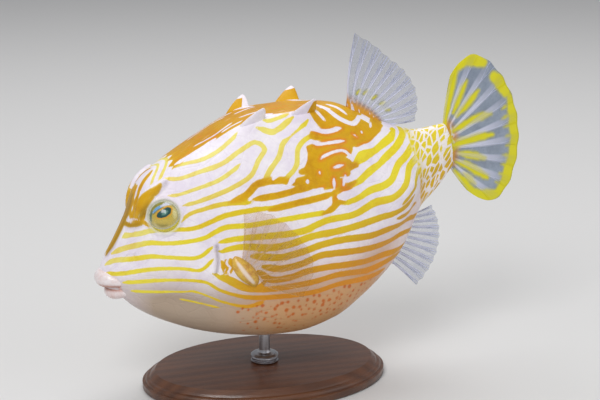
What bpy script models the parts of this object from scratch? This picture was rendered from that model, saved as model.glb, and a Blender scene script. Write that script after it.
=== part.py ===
"""A life-size still model of a striped boxfish, Aracana aurita, held nose-down on a plain display stand.

The fish is drawn in its own frame: a runs from the lips to the tail, y from the middle to its right side,
and d from its belly to its back. A plane through the middle halves it, apart from the tail, which swings
to the right. FISH_PITCH then tips the fish nose-down, as a fish that looks for food on the bottom swims.
Every size below is in millimetres, and becomes metres where a mesh is made.
"""

import bisect
import functools
import math
from dataclasses import dataclass, replace

import bmesh
import bpy
from mathutils import Matrix, Vector

MM = 0.001
GAP = 0.3
WELD = 0.01
SIDES = ((-1, "left"), (1, "right"))
SHARP_ANGLE = math.radians(35)
SEARCH_HALVINGS = 30
BELLY_STEPS = 240

# Pose on the stand.
FISH_PITCH = math.radians(10.3)
ROD_HEIGHT = 12.0
ROD_RADIUS = 2.0
COLLAR_RADIUS = 5.0
COLLAR_HEIGHT = 3.0
COLLAR_EDGE = 0.6
ROD_SPARE = 3.0
ROD_SIDES = 24
BASE_LENGTH = 90.0
BASE_WIDTH = 62.0
BASE_THICKNESS = 6.5
BASE_EDGE = 1.0
BASE_SIDES = 48

# Where the body is parted, along its length.
SNOUT_START = 2.4
HEAD_END = 43.0
TRUNK_END = 121.0
STALK_END = 136.0

# Where the tail starts to swing to the right, and the radius of that swing.
SWING_START = 114.0
SWING_RADIUS = 200.0

# The long curves of the body, each as (distance from the lips, size). Between the knots they run smoothly.
BACK_HEIGHT = ((2.4, 2.6), (3.4, 4.6), (9.8, 12.6), (15.0, 19.4), (19.6, 27.2), (24.5, 31.4),
               (31.0, 34.0), (46.0, 39.6), (57.0, 43.0), (67.0, 44.2), (85.0, 42.4), (95.0, 40.0),
               (103.0, 35.0), (112.0, 28.8), (126.0, 22.2), (137.0, 21.6))
BELLY_HEIGHT = ((2.4, -4.0), (5.6, -6.4), (7.4, -9.2), (10.0, -12.9), (15.0, -17.8), (23.0, -23.6),
                (31.0, -28.2), (43.0, -33.2), (55.5, -36.8), (68.0, -38.4), (79.0, -37.0), (90.0, -32.6),
                (100.0, -27.2), (108.3, -21.0), (115.0, -13.4), (121.0, -6.2), (127.3, -2.4), (137.0, 5.4))
RIDGE_HEIGHT = ((2.4, 1.8), (3.4, 3.6), (10.0, 10.8), (15.0, 16.8), (20.0, 24.6), (24.0, 28.4), (29.3, 31.0),
                (36.0, 34.4), (46.6, 38.4), (57.3, 42.0), (66.5, 43.2), (84.0, 41.2), (95.0, 37.4),
                (103.0, 32.0), (112.0, 26.2), (126.0, 20.0), (137.0, 19.6))
RIDGE_HALF = ((2.4, 1.8), (12.0, 4.8), (20.0, 7.4), (29.0, 9.4), (66.0, 10.0), (85.0, 9.4),
              (100.0, 6.6), (112.0, 4.6), (122.0, 3.6), (137.0, 2.4))
FLANK_HEIGHT = ((2.4, -1.2), (30.0, 2.0), (60.0, 2.0), (100.0, 3.0), (115.0, 6.0), (122.0, 9.0),
                (137.0, 13.4))
FLANK_HALF = ((2.4, 3.6), (6.0, 6.6), (12.0, 10.2), (20.0, 13.6), (30.0, 16.9), (42.0, 20.0), (55.0, 22.2),
              (68.0, 23.0), (82.0, 22.4), (95.0, 20.4), (105.0, 18.0), (112.0, 15.6), (116.5, 12.8),
              (120.0, 9.0), (124.0, 6.6), (137.0, 3.8))
KEEL_HEIGHT = ((2.4, -3.2), (8.0, -6.6), (22.8, -11.4), (39.0, -15.8), (55.5, -18.4), (76.5, -20.6),
               (90.0, -18.6), (102.0, -13.0), (112.0, -6.0), (118.0, -0.4), (124.0, 3.0), (137.0, 8.6))
KEEL_HALF = ((2.4, 3.0), (12.0, 9.2), (25.0, 13.8), (42.0, 18.4), (60.0, 20.6), (80.0, 19.6), (95.0, 16.0),
             (105.0, 13.8), (112.0, 11.4), (118.0, 7.8), (124.0, 5.2), (137.0, 3.0))

# The share of the way from back to belly at which the ridge, the flank and the keel lie, and the rounding.
RIDGE_SHARE = 0.11
FLANK_SHARE = 0.50
KEEL_SHARE = 0.71
ROUNDING_STEP = 0.014
ROUNDING_WEIGHTS = (1, 4, 6, 4, 1)
BACK_FULLNESS = 0.6
UPPER_BULGE = 0.075
LOWER_BULGE = 0.07
BELLY_FULLNESS = 0.92

# Where the points of half a ring lie from back to belly, closest at the ridges, and where the rings stand.
HALF_RING_SHARES = (0.0, 0.04, 0.08, 0.105, 0.125, 0.16, 0.21, 0.265, 0.32, 0.375, 0.43, 0.48, 0.52, 0.57,
                    0.62, 0.665, 0.70, 0.735, 0.78, 0.835, 0.89, 0.945, 1.0)
HEAD_RINGS = (SNOUT_START, 3.6, 5.2, 7.0, 8.4, 10.6, 13.0, 15.2, 17.2, 19.2, 21.2, 23.6, 26.4, 29.6, 33.2,
              38.0, HEAD_END - GAP / 2)
TRUNK_RING_COUNT = 21
TAPER_START = 103.0
TAPER_RINGS = (106.0, 109.0, 111.5, 113.5, 115.2, 116.8, 118.2, 119.6)
TRUNK_RINGS = (
    tuple(HEAD_END + GAP / 2 + (TAPER_START - HEAD_END) * n / TRUNK_RING_COUNT
          for n in range(TRUNK_RING_COUNT))
    + (TAPER_START,) + TAPER_RINGS + (TRUNK_END - GAP / 2,))
STALK_RINGS = (TRUNK_END + GAP / 2, 123.0, 125.5, 128.5, 132.0, STALK_END - GAP / 2)
REAR_BODY_RINGS = TRUNK_RINGS[:1] + TRUNK_RINGS[2:] + STALK_RINGS[1:]
SHOULDER_RINGS = HEAD_RINGS[-3:-2] + TRUNK_RINGS[1:12]

# The head.
EYE_STATION = 25.8
EYE_SHARE = 0.262
EYE_RADIUS = 6.8
EYE_SINK = 4.3
EYE_RIM_RADIUS = 0.75
EYE_RIM_OVERHANG = 0.6
EYE_RIM_STEPS = 20
EYE_RIM_SIDES = 6
EYE_FACETS = (20, 12)
BROW_FRONT = (17.6, 6.8, 17.6)
BROW_MIDDLE = (21.4, 8.6, 26.6)
BROW_TIP = (28.6, 11.2, 30.6)
BROW_THICKNESS = 2.7
BROW_END_SHARE = 0.42
BROW_SWELL = 0.8
BROW_FLATNESS = 0.8
BROW_STEPS = 9
BROW_SIDES = 12
NOSTRILS = ((11.6, 0.30), (13.6, 0.335))
NOSTRIL_RADIUS = 0.75
NOSTRIL_FACETS = (8, 6)
GILL_STATION = 40.3
GILL_SLANT = 2.4
GILL_TOP = 6.8
GILL_BOTTOM = -4.6
GILL_WIDTH = 1.5
GILL_DEPTH = 2.6
GILL_WIDTH_ENDS = 0.08
GILL_DEPTH_ENDS = 0.12
GILL_CUTTER_STAND_OFF = 2.0
GILL_RINGS = 9


@dataclass(frozen=True)
class Lip:
    """A soft roll: the middle of its front, one corner of it, and how thick it is at each."""

    front: tuple
    corner: tuple
    thickness: float
    corner_thickness: float


UPPER_LIP = Lip(front=(3.1, -0.7), corner=(8.4, 5.6, -2.6), thickness=3.3, corner_thickness=1.9)
LOWER_LIP = Lip(front=(5.0, -6.2), corner=(9.6, 5.2, -6.2), thickness=2.9, corner_thickness=2.0)
LIP_STEPS = 15
LIP_SIDES = 12


@dataclass(frozen=True)
class Spine:
    """A spine of the back: where its tip stands, its length along the ridge, and how far it rises."""

    tip: float
    length: float
    rise: float


SPINES = (Spine(tip=66.6, length=12.0, rise=4.0), Spine(tip=84.9, length=13.0, rise=5.0))
SPINE_HALF_WIDTH = 1.9
SPINE_LEAN = 0.75
SPINE_FRONT_SHARE = 0.62
SPINE_START = 0.35
SPINE_SWEEP = 1.3
SPINE_TAPER = 0.62
SPINE_SINK = 3.0
SPINE_TIP_HALF = 0.27
SPINE_RINGS = 7
SPINE_SIDES = 8


@dataclass(frozen=True)
class Fan:
    """A fin: a fan of rays from a root line to a margin, which lies at a radius round the hub.

    The angles are those of its first and last rays, and the bow is how far its edges curve outwards."""

    rays: int
    angles: tuple
    radii: tuple
    root: tuple = ()
    hub: tuple = ()
    flesh: float = 0.0
    flesh_share: float = 0.25
    bow: float = 0.0


DORSAL_FIN = Fan(rays=11, root=((101.0, 37.2), (112.4, 28.6)), hub=(103.0, 31.0), angles=(81.5, -14.0),
                 radii=((0.0, 31.2), (0.12, 28.2), (0.35, 24.8), (0.7, 24.6), (1.0, 22.4)),
                 flesh=2.2, flesh_share=0.3, bow=1.2)
ANAL_FIN = Fan(rays=11, root=((104.6, -21.4), (117.2, -8.4)), hub=(107.6, -13.0), angles=(-71.0, 16.0),
               radii=((0.0, 24.6), (0.15, 23.4), (0.5, 21.6), (1.0, 19.4)),
               flesh=1.5, flesh_share=0.28, bow=0.5)
TAIL_FIN = Fan(rays=11, root=((136.2, 20.6), (136.2, 6.2)), hub=(132.0, 13.4), angles=(68.5, -63.0),
               radii=((0.0, 26.5), (0.045, 32.6), (0.09, 36.0), (0.16, 37.4), (0.5, 37.0), (0.8, 36.6),
                      (0.88, 35.4), (0.936, 32.6), (0.97, 28.0), (1.0, 22.0)),
               flesh=1.6, flesh_share=0.22, bow=0.6)
SIDE_FIN = Fan(rays=10, angles=(80.0, -30.0), radii=((0.0, 16.5), (0.2, 19.5), (0.6, 19.5), (1.0, 14.0)),
               flesh=0.3)
FIN_SINK = 3.0
RAY_COLUMNS = 4
RAY_ROWS = 8
WEB_HALF = 0.27
WEB_TAPER = 0.25
RAY_RISE = 0.42
RAY_TAPER = 0.75
MARGIN_SCALLOP = 0.5

# The fleshy lobe of each side fin, laid slantwise on the flank, and how far the fan stands off the flank.
LOBE_TOP = (46.4, 0.8)
LOBE_BOTTOM = (52.6, -12.4)
LOBE_HALF_WIDTH = 2.6
LOBE_RISE = 2.4
LOBE_SINK = 0.24
LOBE_ENDS = 0.06
LOBE_ROUNDNESS = 0.6
LOBE_TILT = 0.3
LOBE_RINGS = 9
LOBE_SIDES = 12
SIDE_ROOT_TOP = (47.6, 0.0)
SIDE_ROOT_BOTTOM = (52.8, -11.0)
SIDE_FIN_START = 0.7
SIDE_FIN_LIFT = 4.6
SIDE_FIN_BELLY = 1.0

HIDE = (0.93, 0.86, 0.62, 1.0)
TAIL_YELLOW = (0.85, 0.80, 0.05, 1.0)
FIN_GREY = (0.70, 0.73, 0.80, 1.0)
EYE_GREEN = (0.45, 0.50, 0.20, 1.0)
LIP_PINK = (0.90, 0.80, 0.76, 1.0)
WALNUT = (0.20, 0.11, 0.06, 1.0)
STEEL = (0.60, 0.60, 0.62, 1.0)


@functools.lru_cache(maxsize=None)
def curve_parts(knots):
    """The places, values and slopes of a long curve at its knots."""
    places = [k[0] for k in knots]
    values = [k[1] for k in knots]
    steps = [(values[i + 1] - values[i]) / (places[i + 1] - places[i]) for i in range(len(knots) - 1)]
    slopes = [steps[0]]
    for before, after in zip(steps, steps[1:]):
        level = before * after <= 0
        slopes.append(0.0 if level else 2 * before * after / (before + after))
    slopes.append(steps[-1])
    return places, values, slopes


def along(knots, at):
    """The value of a long curve at one place: a cubic through its knots that doesn't overshoot them."""
    places, values, slopes = curve_parts(knots)
    if at <= places[0]:
        return values[0]
    if at >= places[-1]:
        return values[-1]
    i = bisect.bisect_right(places, at) - 1
    width = places[i + 1] - places[i]
    t = (at - places[i]) / width
    return ((2 * t ** 3 - 3 * t ** 2 + 1) * values[i] + (t ** 3 - 2 * t ** 2 + t) * width * slopes[i]
            + (3 * t ** 2 - 2 * t ** 3) * values[i + 1] + (t ** 3 - t ** 2) * width * slopes[i + 1])


def arc(start, middle, end, t):
    """A point of a quadratic Bezier curve."""
    return [(1 - t) ** 2 * a + 2 * t * (1 - t) * b + t * t * c for a, b, c in zip(start, middle, end)]


def bulged(start, end, bulge):
    """The control point that swells a straight run outwards by a share of its length."""
    across, down = end[0] - start[0], end[1] - start[1]
    return ((start[0] + end[0]) / 2 - down * bulge * 2, (start[1] + end[1]) / 2 + across * bulge * 2)


def sharp_section(a, share):
    """(y, d) of the body's section before its ridges are rounded. A negative share is the left side."""
    side = -1 if share < 0 else 1
    share = abs(share)
    if share > 1:
        share, side = 2 - share, -side
    back = (0.0, along(BACK_HEIGHT, a))
    ridge = (along(RIDGE_HALF, a), along(RIDGE_HEIGHT, a))
    flank = (along(FLANK_HALF, a), along(FLANK_HEIGHT, a))
    keel = (along(KEEL_HALF, a), along(KEEL_HEIGHT, a))
    belly = (0.0, along(BELLY_HEIGHT, a))
    if share <= RIDGE_SHARE:
        y, d = arc(back, (ridge[0] * BACK_FULLNESS, back[1]), ridge, share / RIDGE_SHARE)
    elif share <= FLANK_SHARE:
        t = (share - RIDGE_SHARE) / (FLANK_SHARE - RIDGE_SHARE)
        y, d = arc(ridge, bulged(ridge, flank, UPPER_BULGE), flank, t)
    elif share <= KEEL_SHARE:
        t = (share - FLANK_SHARE) / (KEEL_SHARE - FLANK_SHARE)
        y, d = arc(flank, bulged(flank, keel, LOWER_BULGE), keel, t)
    else:
        t = (share - KEEL_SHARE) / (1 - KEEL_SHARE)
        y, d = arc(keel, (keel[0] * BELLY_FULLNESS, belly[1]), belly, t)
    return side * y, d


def section(a, share):
    """(y, d) of the skin, where share runs from 0 at the back to 1 at the belly, or to -1 on the left."""
    half = len(ROUNDING_WEIGHTS) // 2
    y = d = 0.0
    for n, weight in enumerate(ROUNDING_WEIGHTS):
        point = sharp_section(a, share + (n - half) * ROUNDING_STEP)
        y += weight * point[0]
        d += weight * point[1]
    total = sum(ROUNDING_WEIGHTS)
    return y / total, d / total


def swung(point):
    """Carries a point of the straight fish to its place with the tail swung to the right."""
    a, y, d = point
    turn = max(0.0, (a - SWING_START) / SWING_RADIUS)
    if turn == 0.0:
        return Vector((a, y, d))
    reach = SWING_RADIUS - y
    return Vector((SWING_START + reach * math.sin(turn), SWING_RADIUS - reach * math.cos(turn), d))


def skin_point(a, share, side=1):
    """A point on the skin, on the right side for side 1 and on the left for -1."""
    y, d = section(a, share)
    return Vector((a, side * y, d))


def skin_normal(a, share, side=1):
    """The outward direction of the skin there, from points half a millimetre off."""
    lengthwise = skin_point(a + 0.5, share, side) - skin_point(a - 0.5, share, side)
    around = skin_point(a, share + ROUNDING_STEP, side) - skin_point(a, share - ROUNDING_STEP, side)
    normal = lengthwise.cross(around).normalized()
    return normal if normal.y * side > 0 else -normal


def skin_reach(a, d):
    """How far out the skin of the flank lies at a station and height, found by halving."""
    low, high = RIDGE_SHARE, 1.0
    for _ in range(SEARCH_HALVINGS):
        middle = (low + high) / 2
        if section(a, middle)[1] > d:
            low = middle
        else:
            high = middle
    return section(a, low)[0]


def swell(t, ends):
    """A share that is 1 in the middle of a run and falls at both ends, a little short of 0."""
    return math.sin(math.pi * (ends + (1 - 2 * ends) * t))


def material(name, colour, roughness=0.5, metallic=0.0):
    """A plain coloured finish."""
    made = bpy.data.materials.new(name)
    made.use_nodes = True
    shader = made.node_tree.nodes["Principled BSDF"]
    shader.inputs["Base Color"].default_value = colour
    shader.inputs["Roughness"].default_value = roughness
    shader.inputs["Metallic"].default_value = metallic
    return made


def object_from(name, points, faces, collection, finish=None):
    """A mesh object from points in millimetres. Its faces are turned outwards."""
    mesh = bpy.data.meshes.new(name)
    mesh.from_pydata([Vector(p) * MM for p in points], [], faces)
    work = bmesh.new()
    work.from_mesh(mesh)
    bmesh.ops.recalc_face_normals(work, faces=work.faces)
    work.to_mesh(mesh)
    work.free()
    return linked(name, mesh, collection, finish)


def linked(name, mesh, collection, finish=None):
    """An object with this mesh, shaded smooth but for its sharp edges, in a collection."""
    mesh.shade_smooth()
    mesh.set_sharp_from_angle(angle=SHARP_ANGLE)
    if finish:
        mesh.materials.append(finish)
    made = bpy.data.objects.new(name, mesh)
    collection.objects.link(made)
    return made


def loft(rings):
    """(points, faces) of a closed skin over rings of the same number of points, with both ends capped."""
    count = len(rings[0])
    points = [p for ring in rings for p in ring]
    faces = []
    for r in range(len(rings) - 1):
        for n in range(count):
            m = (n + 1) % count
            faces.append((r * count + n, r * count + m, (r + 1) * count + m, (r + 1) * count + n))
    last = (len(rings) - 1) * count
    faces.append(tuple(reversed(range(count))))
    faces.append(tuple(range(last, last + count)))
    return points, faces


def body_ring(a, grown=0.0):
    """One ring of the body's skin, moved outwards by grown."""
    shares = list(HALF_RING_SHARES) + [-s for s in reversed(HALF_RING_SHARES[1:-1])]
    flat = [section(a, s) for s in shares]
    ring = []
    for n, (y, d) in enumerate(flat):
        before, after = flat[n - 1], flat[(n + 1) % len(flat)]
        across, up = after[0] - before[0], after[1] - before[1]
        length = math.hypot(across, up)
        ring.append(swung((a, y - up / length * grown, d + across / length * grown)))
    return ring


def body_length(name, stations, collection, finish):
    """A closed length of the body between its first and last stations."""
    return object_from(name, *loft([body_ring(a) for a in stations]), collection, finish)


def grown_body(stations, collection):
    """A length of the body a gap larger all round, for cutting what meets it."""
    stretched = (stations[0] - GAP,) + tuple(stations[1:-1]) + (stations[-1] + GAP,)
    return object_from("grown_body", *loft([body_ring(a, GAP) for a in stretched]), collection)


def tube(path, radii, sides, flatness=1.0):
    """(points, faces) of a tube along a path, with a radius at each point. flatness narrows it sideways."""
    rings = []
    for n, centre in enumerate(path):
        ahead = path[min(n + 1, len(path) - 1)] - path[max(n - 1, 0)]
        out = ahead.cross(Vector((0, 0, 1))).normalized()
        up = out.cross(ahead).normalized()
        ring = []
        for k in range(sides):
            turn = 2 * math.pi * k / sides
            sideways = out * math.cos(turn) * flatness
            ring.append(centre + (sideways + up * math.sin(turn)) * radii[n])
        rings.append(ring)
    return loft(rings)


def brow(side, collection):
    """The ridge over an eye. It rises from the snout and ends in a blunt horn that points back."""
    path, radii = [], []
    for n in range(BROW_STEPS):
        t = n / (BROW_STEPS - 1)
        a, y, d = arc(BROW_FRONT, BROW_MIDDLE, BROW_TIP, t)
        path.append(Vector((a, side * y, d)))
        fullness = math.sin(math.pi * t ** BROW_SWELL)
        radii.append(BROW_THICKNESS * (BROW_END_SHARE + (1 - BROW_END_SHARE) * fullness))
    return object_from(f"brow_{side}", *tube(path, radii, BROW_SIDES, BROW_FLATNESS), collection)


def eye_centre(side):
    """The middle of the eyeball."""
    surface = skin_point(EYE_STATION, EYE_SHARE, side)
    return surface - skin_normal(EYE_STATION, EYE_SHARE, side) * EYE_SINK


def ball(name, centre, radius, facets, collection, finish=None):
    """A ball of flat facets, as many round it and from pole to pole as facets gives."""
    work = bmesh.new()
    bmesh.ops.create_uvsphere(work, u_segments=facets[0], v_segments=facets[1], radius=radius * MM)
    bmesh.ops.translate(work, verts=work.verts, vec=centre * MM)
    mesh = bpy.data.meshes.new(name)
    work.to_mesh(mesh)
    work.free()
    return linked(name, mesh, collection, finish)


def eye_rim(side, collection):
    """The raised ring of skin round an eye."""
    centre = eye_centre(side)
    normal = skin_normal(EYE_STATION, EYE_SHARE, side)
    ring_radius = math.sqrt(EYE_RADIUS ** 2 - EYE_SINK ** 2) + EYE_RIM_RADIUS * EYE_RIM_OVERHANG
    turn = normal.to_track_quat("Z", "Y").to_matrix()
    points, faces = [], []
    for n in range(EYE_RIM_STEPS):
        angle = 2 * math.pi * n / EYE_RIM_STEPS
        here, ahead = n * EYE_RIM_SIDES, (n + 1) % EYE_RIM_STEPS * EYE_RIM_SIDES
        for k in range(EYE_RIM_SIDES):
            tilt = 2 * math.pi * k / EYE_RIM_SIDES
            out = ring_radius + EYE_RIM_RADIUS * math.cos(tilt)
            height = EYE_SINK + EYE_RIM_RADIUS * math.sin(tilt)
            points.append(centre + turn @ Vector((out * math.cos(angle), out * math.sin(angle), height)))
            m = (k + 1) % EYE_RIM_SIDES
            faces.append((here + k, here + m, ahead + m, ahead + k))
    return object_from(f"eye_rim_{side}", points, faces, collection)


def gill_cutter(side, collection):
    """The upright slit in front of the side fin."""
    rings = []
    for n in range(GILL_RINGS):
        t = n / (GILL_RINGS - 1)
        a = GILL_STATION - GILL_SLANT * t
        d = GILL_TOP + (GILL_BOTTOM - GILL_TOP) * t
        skin = skin_reach(a, d)
        half = GILL_WIDTH / 2 * swell(t, GILL_WIDTH_ENDS)
        outer = side * (skin + GILL_CUTTER_STAND_OFF)
        inner = side * (skin - GILL_DEPTH * swell(t, GILL_DEPTH_ENDS))
        rings.append([(a - half, outer, d), (a + half, outer, d), (a + half, inner, d), (a - half, inner, d)])
    return object_from(f"gill_cutter_{side}", *loft(rings), collection)


def lip(name, shape, collection, finish=None):
    """One lip: a soft roll that is thickest at the front and runs round to the corners of the mouth."""
    corner_a, corner_y, corner_d = shape.corner
    path, radii = [], []
    for n in range(LIP_STEPS):
        turn = math.pi * (n / (LIP_STEPS - 1) - 0.5)
        forward = math.cos(turn)
        path.append(Vector((corner_a + (shape.front[0] - corner_a) * forward, corner_y * math.sin(turn),
                            corner_d + (shape.front[1] - corner_d) * forward)))
        radii.append(shape.thickness + (shape.corner_thickness - shape.thickness) * math.sin(turn) ** 2)
    return object_from(name, *tube(path, radii, LIP_SIDES), collection, finish)


def spine(side, shape, collection):
    """A spine of the back: a low slope in front, and a tip that leans out over a steep rear."""
    foot = shape.tip - shape.length * SPINE_FRONT_SHARE
    rings = []
    for n in range(SPINE_RINGS):
        t = n / (SPINE_RINGS - 1)
        rise = -SPINE_SINK + (SPINE_SINK + shape.rise) * t
        middle = foot + (shape.tip - foot) * (SPINE_START + (1 - SPINE_START) * t ** SPINE_SWEEP)
        half_length = max(SPINE_TIP_HALF, shape.length / 2 * (1 - t) ** SPINE_TAPER)
        half_width = max(SPINE_TIP_HALF, SPINE_HALF_WIDTH * (1 - t) ** SPINE_TAPER)
        y = along(RIDGE_HALF, middle) + SPINE_LEAN * rise
        d = along(RIDGE_HEIGHT, middle) + rise
        turns = [2 * math.pi * k / SPINE_SIDES for k in range(SPINE_SIDES)]
        rings.append([(middle + half_length * math.cos(turn), side * (y + half_width * math.sin(turn)), d)
                      for turn in turns])
    return object_from(f"spine_{side}", *loft(rings), collection)


def fin_half_thickness(fan, w, crest):
    """Half a fin's thickness at a share w of the way out: its web, its flesh, and a ray where crest is 1."""
    fleshy = max(0.0, 1 - w / fan.flesh_share)
    web = WEB_HALF * (1 - WEB_TAPER * w)
    ray = RAY_RISE * crest * (1 - RAY_TAPER * w)
    return web + ray + fan.flesh * fleshy * fleshy * (3 - 2 * fleshy)


def fin_grid(fan, place):
    """(points, faces) of a fin. place(v, w, crest) gives a point of its middle sheet and the way out of it.

    v runs from the leading ray to the last, and w from root to margin. Both faces are split alike."""
    columns = (fan.rays - 1) * RAY_COLUMNS + 1
    rows = RAY_ROWS
    sheets = {1: [], -1: []}
    for i in range(columns):
        v = i / (columns - 1)
        crest = 0.5 + 0.5 * math.cos(2 * math.pi * v * (fan.rays - 1))
        for j in range(rows):
            w = j / (rows - 1)
            half = fin_half_thickness(fan, w, crest)
            point, out = place(v, w, crest)
            for face, sheet in sheets.items():
                sheet.append(point + out * half * face)
    size = columns * rows
    faces = []
    for i in range(columns - 1):
        for j in range(rows - 1):
            a, b = i * rows + j, (i + 1) * rows + j
            for tri in ((a, b, b + 1), (a, b + 1, a + 1)):
                faces.append(tri)
                faces.append(tuple(size + n for n in reversed(tri)))
    rim = [(i * rows, (i + 1) * rows) for i in range(columns - 1)]
    rim += [((columns - 1) * rows + j, (columns - 1) * rows + j + 1) for j in range(rows - 1)]
    rim += [((i + 1) * rows + rows - 1, i * rows + rows - 1) for i in range(columns - 1)]
    rim += [(j + 1, j) for j in range(rows - 1)]
    for a, b in rim:
        faces.append((a, size + a, size + b))
        faces.append((a, size + b, b))
    return sheets[1] + sheets[-1], faces


def ray_angle(fan, v):
    """The direction of a ray, as an angle above the fish's length."""
    first, last = fan.angles
    return math.radians(first + (last - first) * v)


def margin_radius(fan, v, crest):
    """How far the margin lies from the hub, a little further at each ray."""
    return along(fan.radii, v) + MARGIN_SCALLOP * (crest - 0.5)


def median_fin(name, fan, collection, finish):
    """A fin on the middle plane: the dorsal, anal or tail fin."""
    (root_a, root_d), (end_a, end_d) = fan.root
    hub = Vector((fan.hub[0], 0.0, fan.hub[1]))

    def place(v, w, crest):
        angle = ray_angle(fan, v)
        tip = hub + Vector((math.cos(angle), 0.0, math.sin(angle))) * margin_radius(fan, v, crest)
        root = Vector((root_a + (end_a - root_a) * v, 0.0, root_d + (end_d - root_d) * v))
        root -= (tip - root).normalized() * FIN_SINK
        ray = (tip - root).normalized()
        bow = Vector((-ray.z, 0.0, ray.x)) * fan.bow * (1 - 2 * v) * math.sin(math.pi * w)
        point = root + (tip - root) * w + bow
        sideways = swung(point + Vector((0, 1, 0))) - swung(point)
        return swung(point), sideways.normalized()

    return object_from(name, *fin_grid(fan, place), collection, finish)


def side_lobe(side, collection, finish):
    """The fleshy lobe that carries a side fin: a pad laid slantwise on the flank."""
    rings = []
    for n in range(LOBE_RINGS):
        t = n / (LOBE_RINGS - 1)
        fullness = swell(t, LOBE_ENDS) ** LOBE_ROUNDNESS
        a = LOBE_TOP[0] + (LOBE_BOTTOM[0] - LOBE_TOP[0]) * t
        d = LOBE_TOP[1] + (LOBE_BOTTOM[1] - LOBE_TOP[1]) * t
        middle = skin_reach(a, d) - LOBE_SINK
        turns = [2 * math.pi * k / LOBE_SIDES for k in range(LOBE_SIDES)]
        rings.append([(a + LOBE_HALF_WIDTH * fullness * math.cos(turn),
                       side * (middle + LOBE_RISE * fullness * math.sin(turn)),
                       d + LOBE_TILT * math.cos(turn)) for turn in turns])
    return object_from(f"side_lobe_{side}", *loft(rings), collection, finish)


def side_fan(name, side, collection, finish):
    """The fan of a side fin, which stands off the flank behind its lobe."""
    (top_a, top_d), (bottom_a, bottom_d) = SIDE_ROOT_TOP, SIDE_ROOT_BOTTOM

    def place(v, w, crest):
        a = top_a + (bottom_a - top_a) * v
        d = top_d + (bottom_d - top_d) * v
        angle = ray_angle(SIDE_FIN, v)
        reach = margin_radius(SIDE_FIN, v, crest)
        tip_a, tip_d = a + reach * math.cos(angle), d + reach * math.sin(angle)
        start = skin_reach(a, d) + SIDE_FIN_START
        end = skin_reach(tip_a, tip_d) + SIDE_FIN_LIFT
        out = start + (end - start) * w + SIDE_FIN_BELLY * math.sin(math.pi * w)
        return Vector((a + (tip_a - a) * w, side * out, d + (tip_d - d) * w)), Vector((0, side, 0))

    return object_from(name, *fin_grid(SIDE_FIN, place), collection, finish)


def combine(target, operation, pieces):
    """Joins or cuts a node with every object of a collection, and then removes them."""
    for piece in pieces.objects:
        piece.hide_render = True
        piece.display_type = "WIRE"
    modifier = target.modifiers.new(operation.lower(), "BOOLEAN")
    modifier.operation = operation
    modifier.operand_type = "COLLECTION"
    modifier.collection = pieces
    modifier.solver = "EXACT"
    graph = bpy.context.evaluated_depsgraph_get()
    shaped = bpy.data.meshes.new_from_object(target.evaluated_get(graph))
    target.modifiers.clear()
    target.data = shaped
    for piece in list(pieces.objects):
        bpy.data.objects.remove(piece)
    keep_largest(target)


def keep_largest(target):
    """Leaves only the largest closed surface of a node, and welds what a Boolean left open by a hair."""
    work = bmesh.new()
    work.from_mesh(target.data)
    bmesh.ops.remove_doubles(work, verts=work.verts, dist=WELD * MM)
    bmesh.ops.triangulate(work, faces=work.faces)
    bmesh.ops.dissolve_degenerate(work, edges=work.edges, dist=WELD * MM)
    bmesh.ops.triangulate(work, faces=work.faces)
    left = set(work.verts)
    groups = []
    while left:
        stack, group = [left.pop()], set()
        while stack:
            vert = stack.pop()
            group.add(vert)
            for edge in vert.link_edges:
                other = edge.other_vert(vert)
                if other in left:
                    left.remove(other)
                    stack.append(other)
        groups.append(group)
    groups.sort(key=len)
    for group in groups[:-1]:
        bmesh.ops.delete(work, geom=list(group), context="VERTS")
    work.to_mesh(target.data)
    work.free()


def new_collection(name):
    """A collection in the scene."""
    made = bpy.data.collections.new(name)
    bpy.context.scene.collection.children.link(made)
    return made


def build_head(fish, scraps, finishes):
    """The head with its brows, eye rims and sockets, nostrils and gill slits, and the two eyes."""
    head = body_length("head", HEAD_RINGS, fish, finishes["hide"])
    for side in (-1, 1):
        brow(side, scraps)
        eye_rim(side, scraps)
    combine(head, "UNION", scraps)
    for side, word in SIDES:
        ball(f"socket_{word}", eye_centre(side), EYE_RADIUS + GAP, EYE_FACETS, scraps)
        gill_cutter(side, scraps)
        for station, share in NOSTRILS:
            ball(f"nostril_{word}", skin_point(station, share, side), NOSTRIL_RADIUS, NOSTRIL_FACETS, scraps)
    combine(head, "DIFFERENCE", scraps)
    for side, word in SIDES:
        ball(f"eye_{word}", eye_centre(side), EYE_RADIUS, EYE_FACETS, fish, finishes["eye"])


def build_lips(fish, scraps, finishes):
    """The two lips. The head is cut out of both, and the upper lip out of the lower."""
    upper = lip("upper_lip", UPPER_LIP, fish, finishes["lip"])
    grown_body(HEAD_RINGS, scraps)
    combine(upper, "DIFFERENCE", scraps)
    lower = lip("lower_lip", LOWER_LIP, fish, finishes["lip"])
    grown_body(HEAD_RINGS, scraps)
    lip("upper_lip_room", replace(UPPER_LIP, thickness=UPPER_LIP.thickness + GAP,
                                  corner_thickness=UPPER_LIP.corner_thickness + GAP), scraps)
    combine(lower, "DIFFERENCE", scraps)


def build_trunk(fish, scraps, finishes):
    """The trunk with its four spines, and the tail stalk."""
    trunk = body_length("trunk", TRUNK_RINGS, fish, finishes["hide"])
    for side in (-1, 1):
        for shape in SPINES:
            spine(side, shape, scraps)
    combine(trunk, "UNION", scraps)
    body_length("tail_stalk", STALK_RINGS, fish, finishes["hide"])


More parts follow.
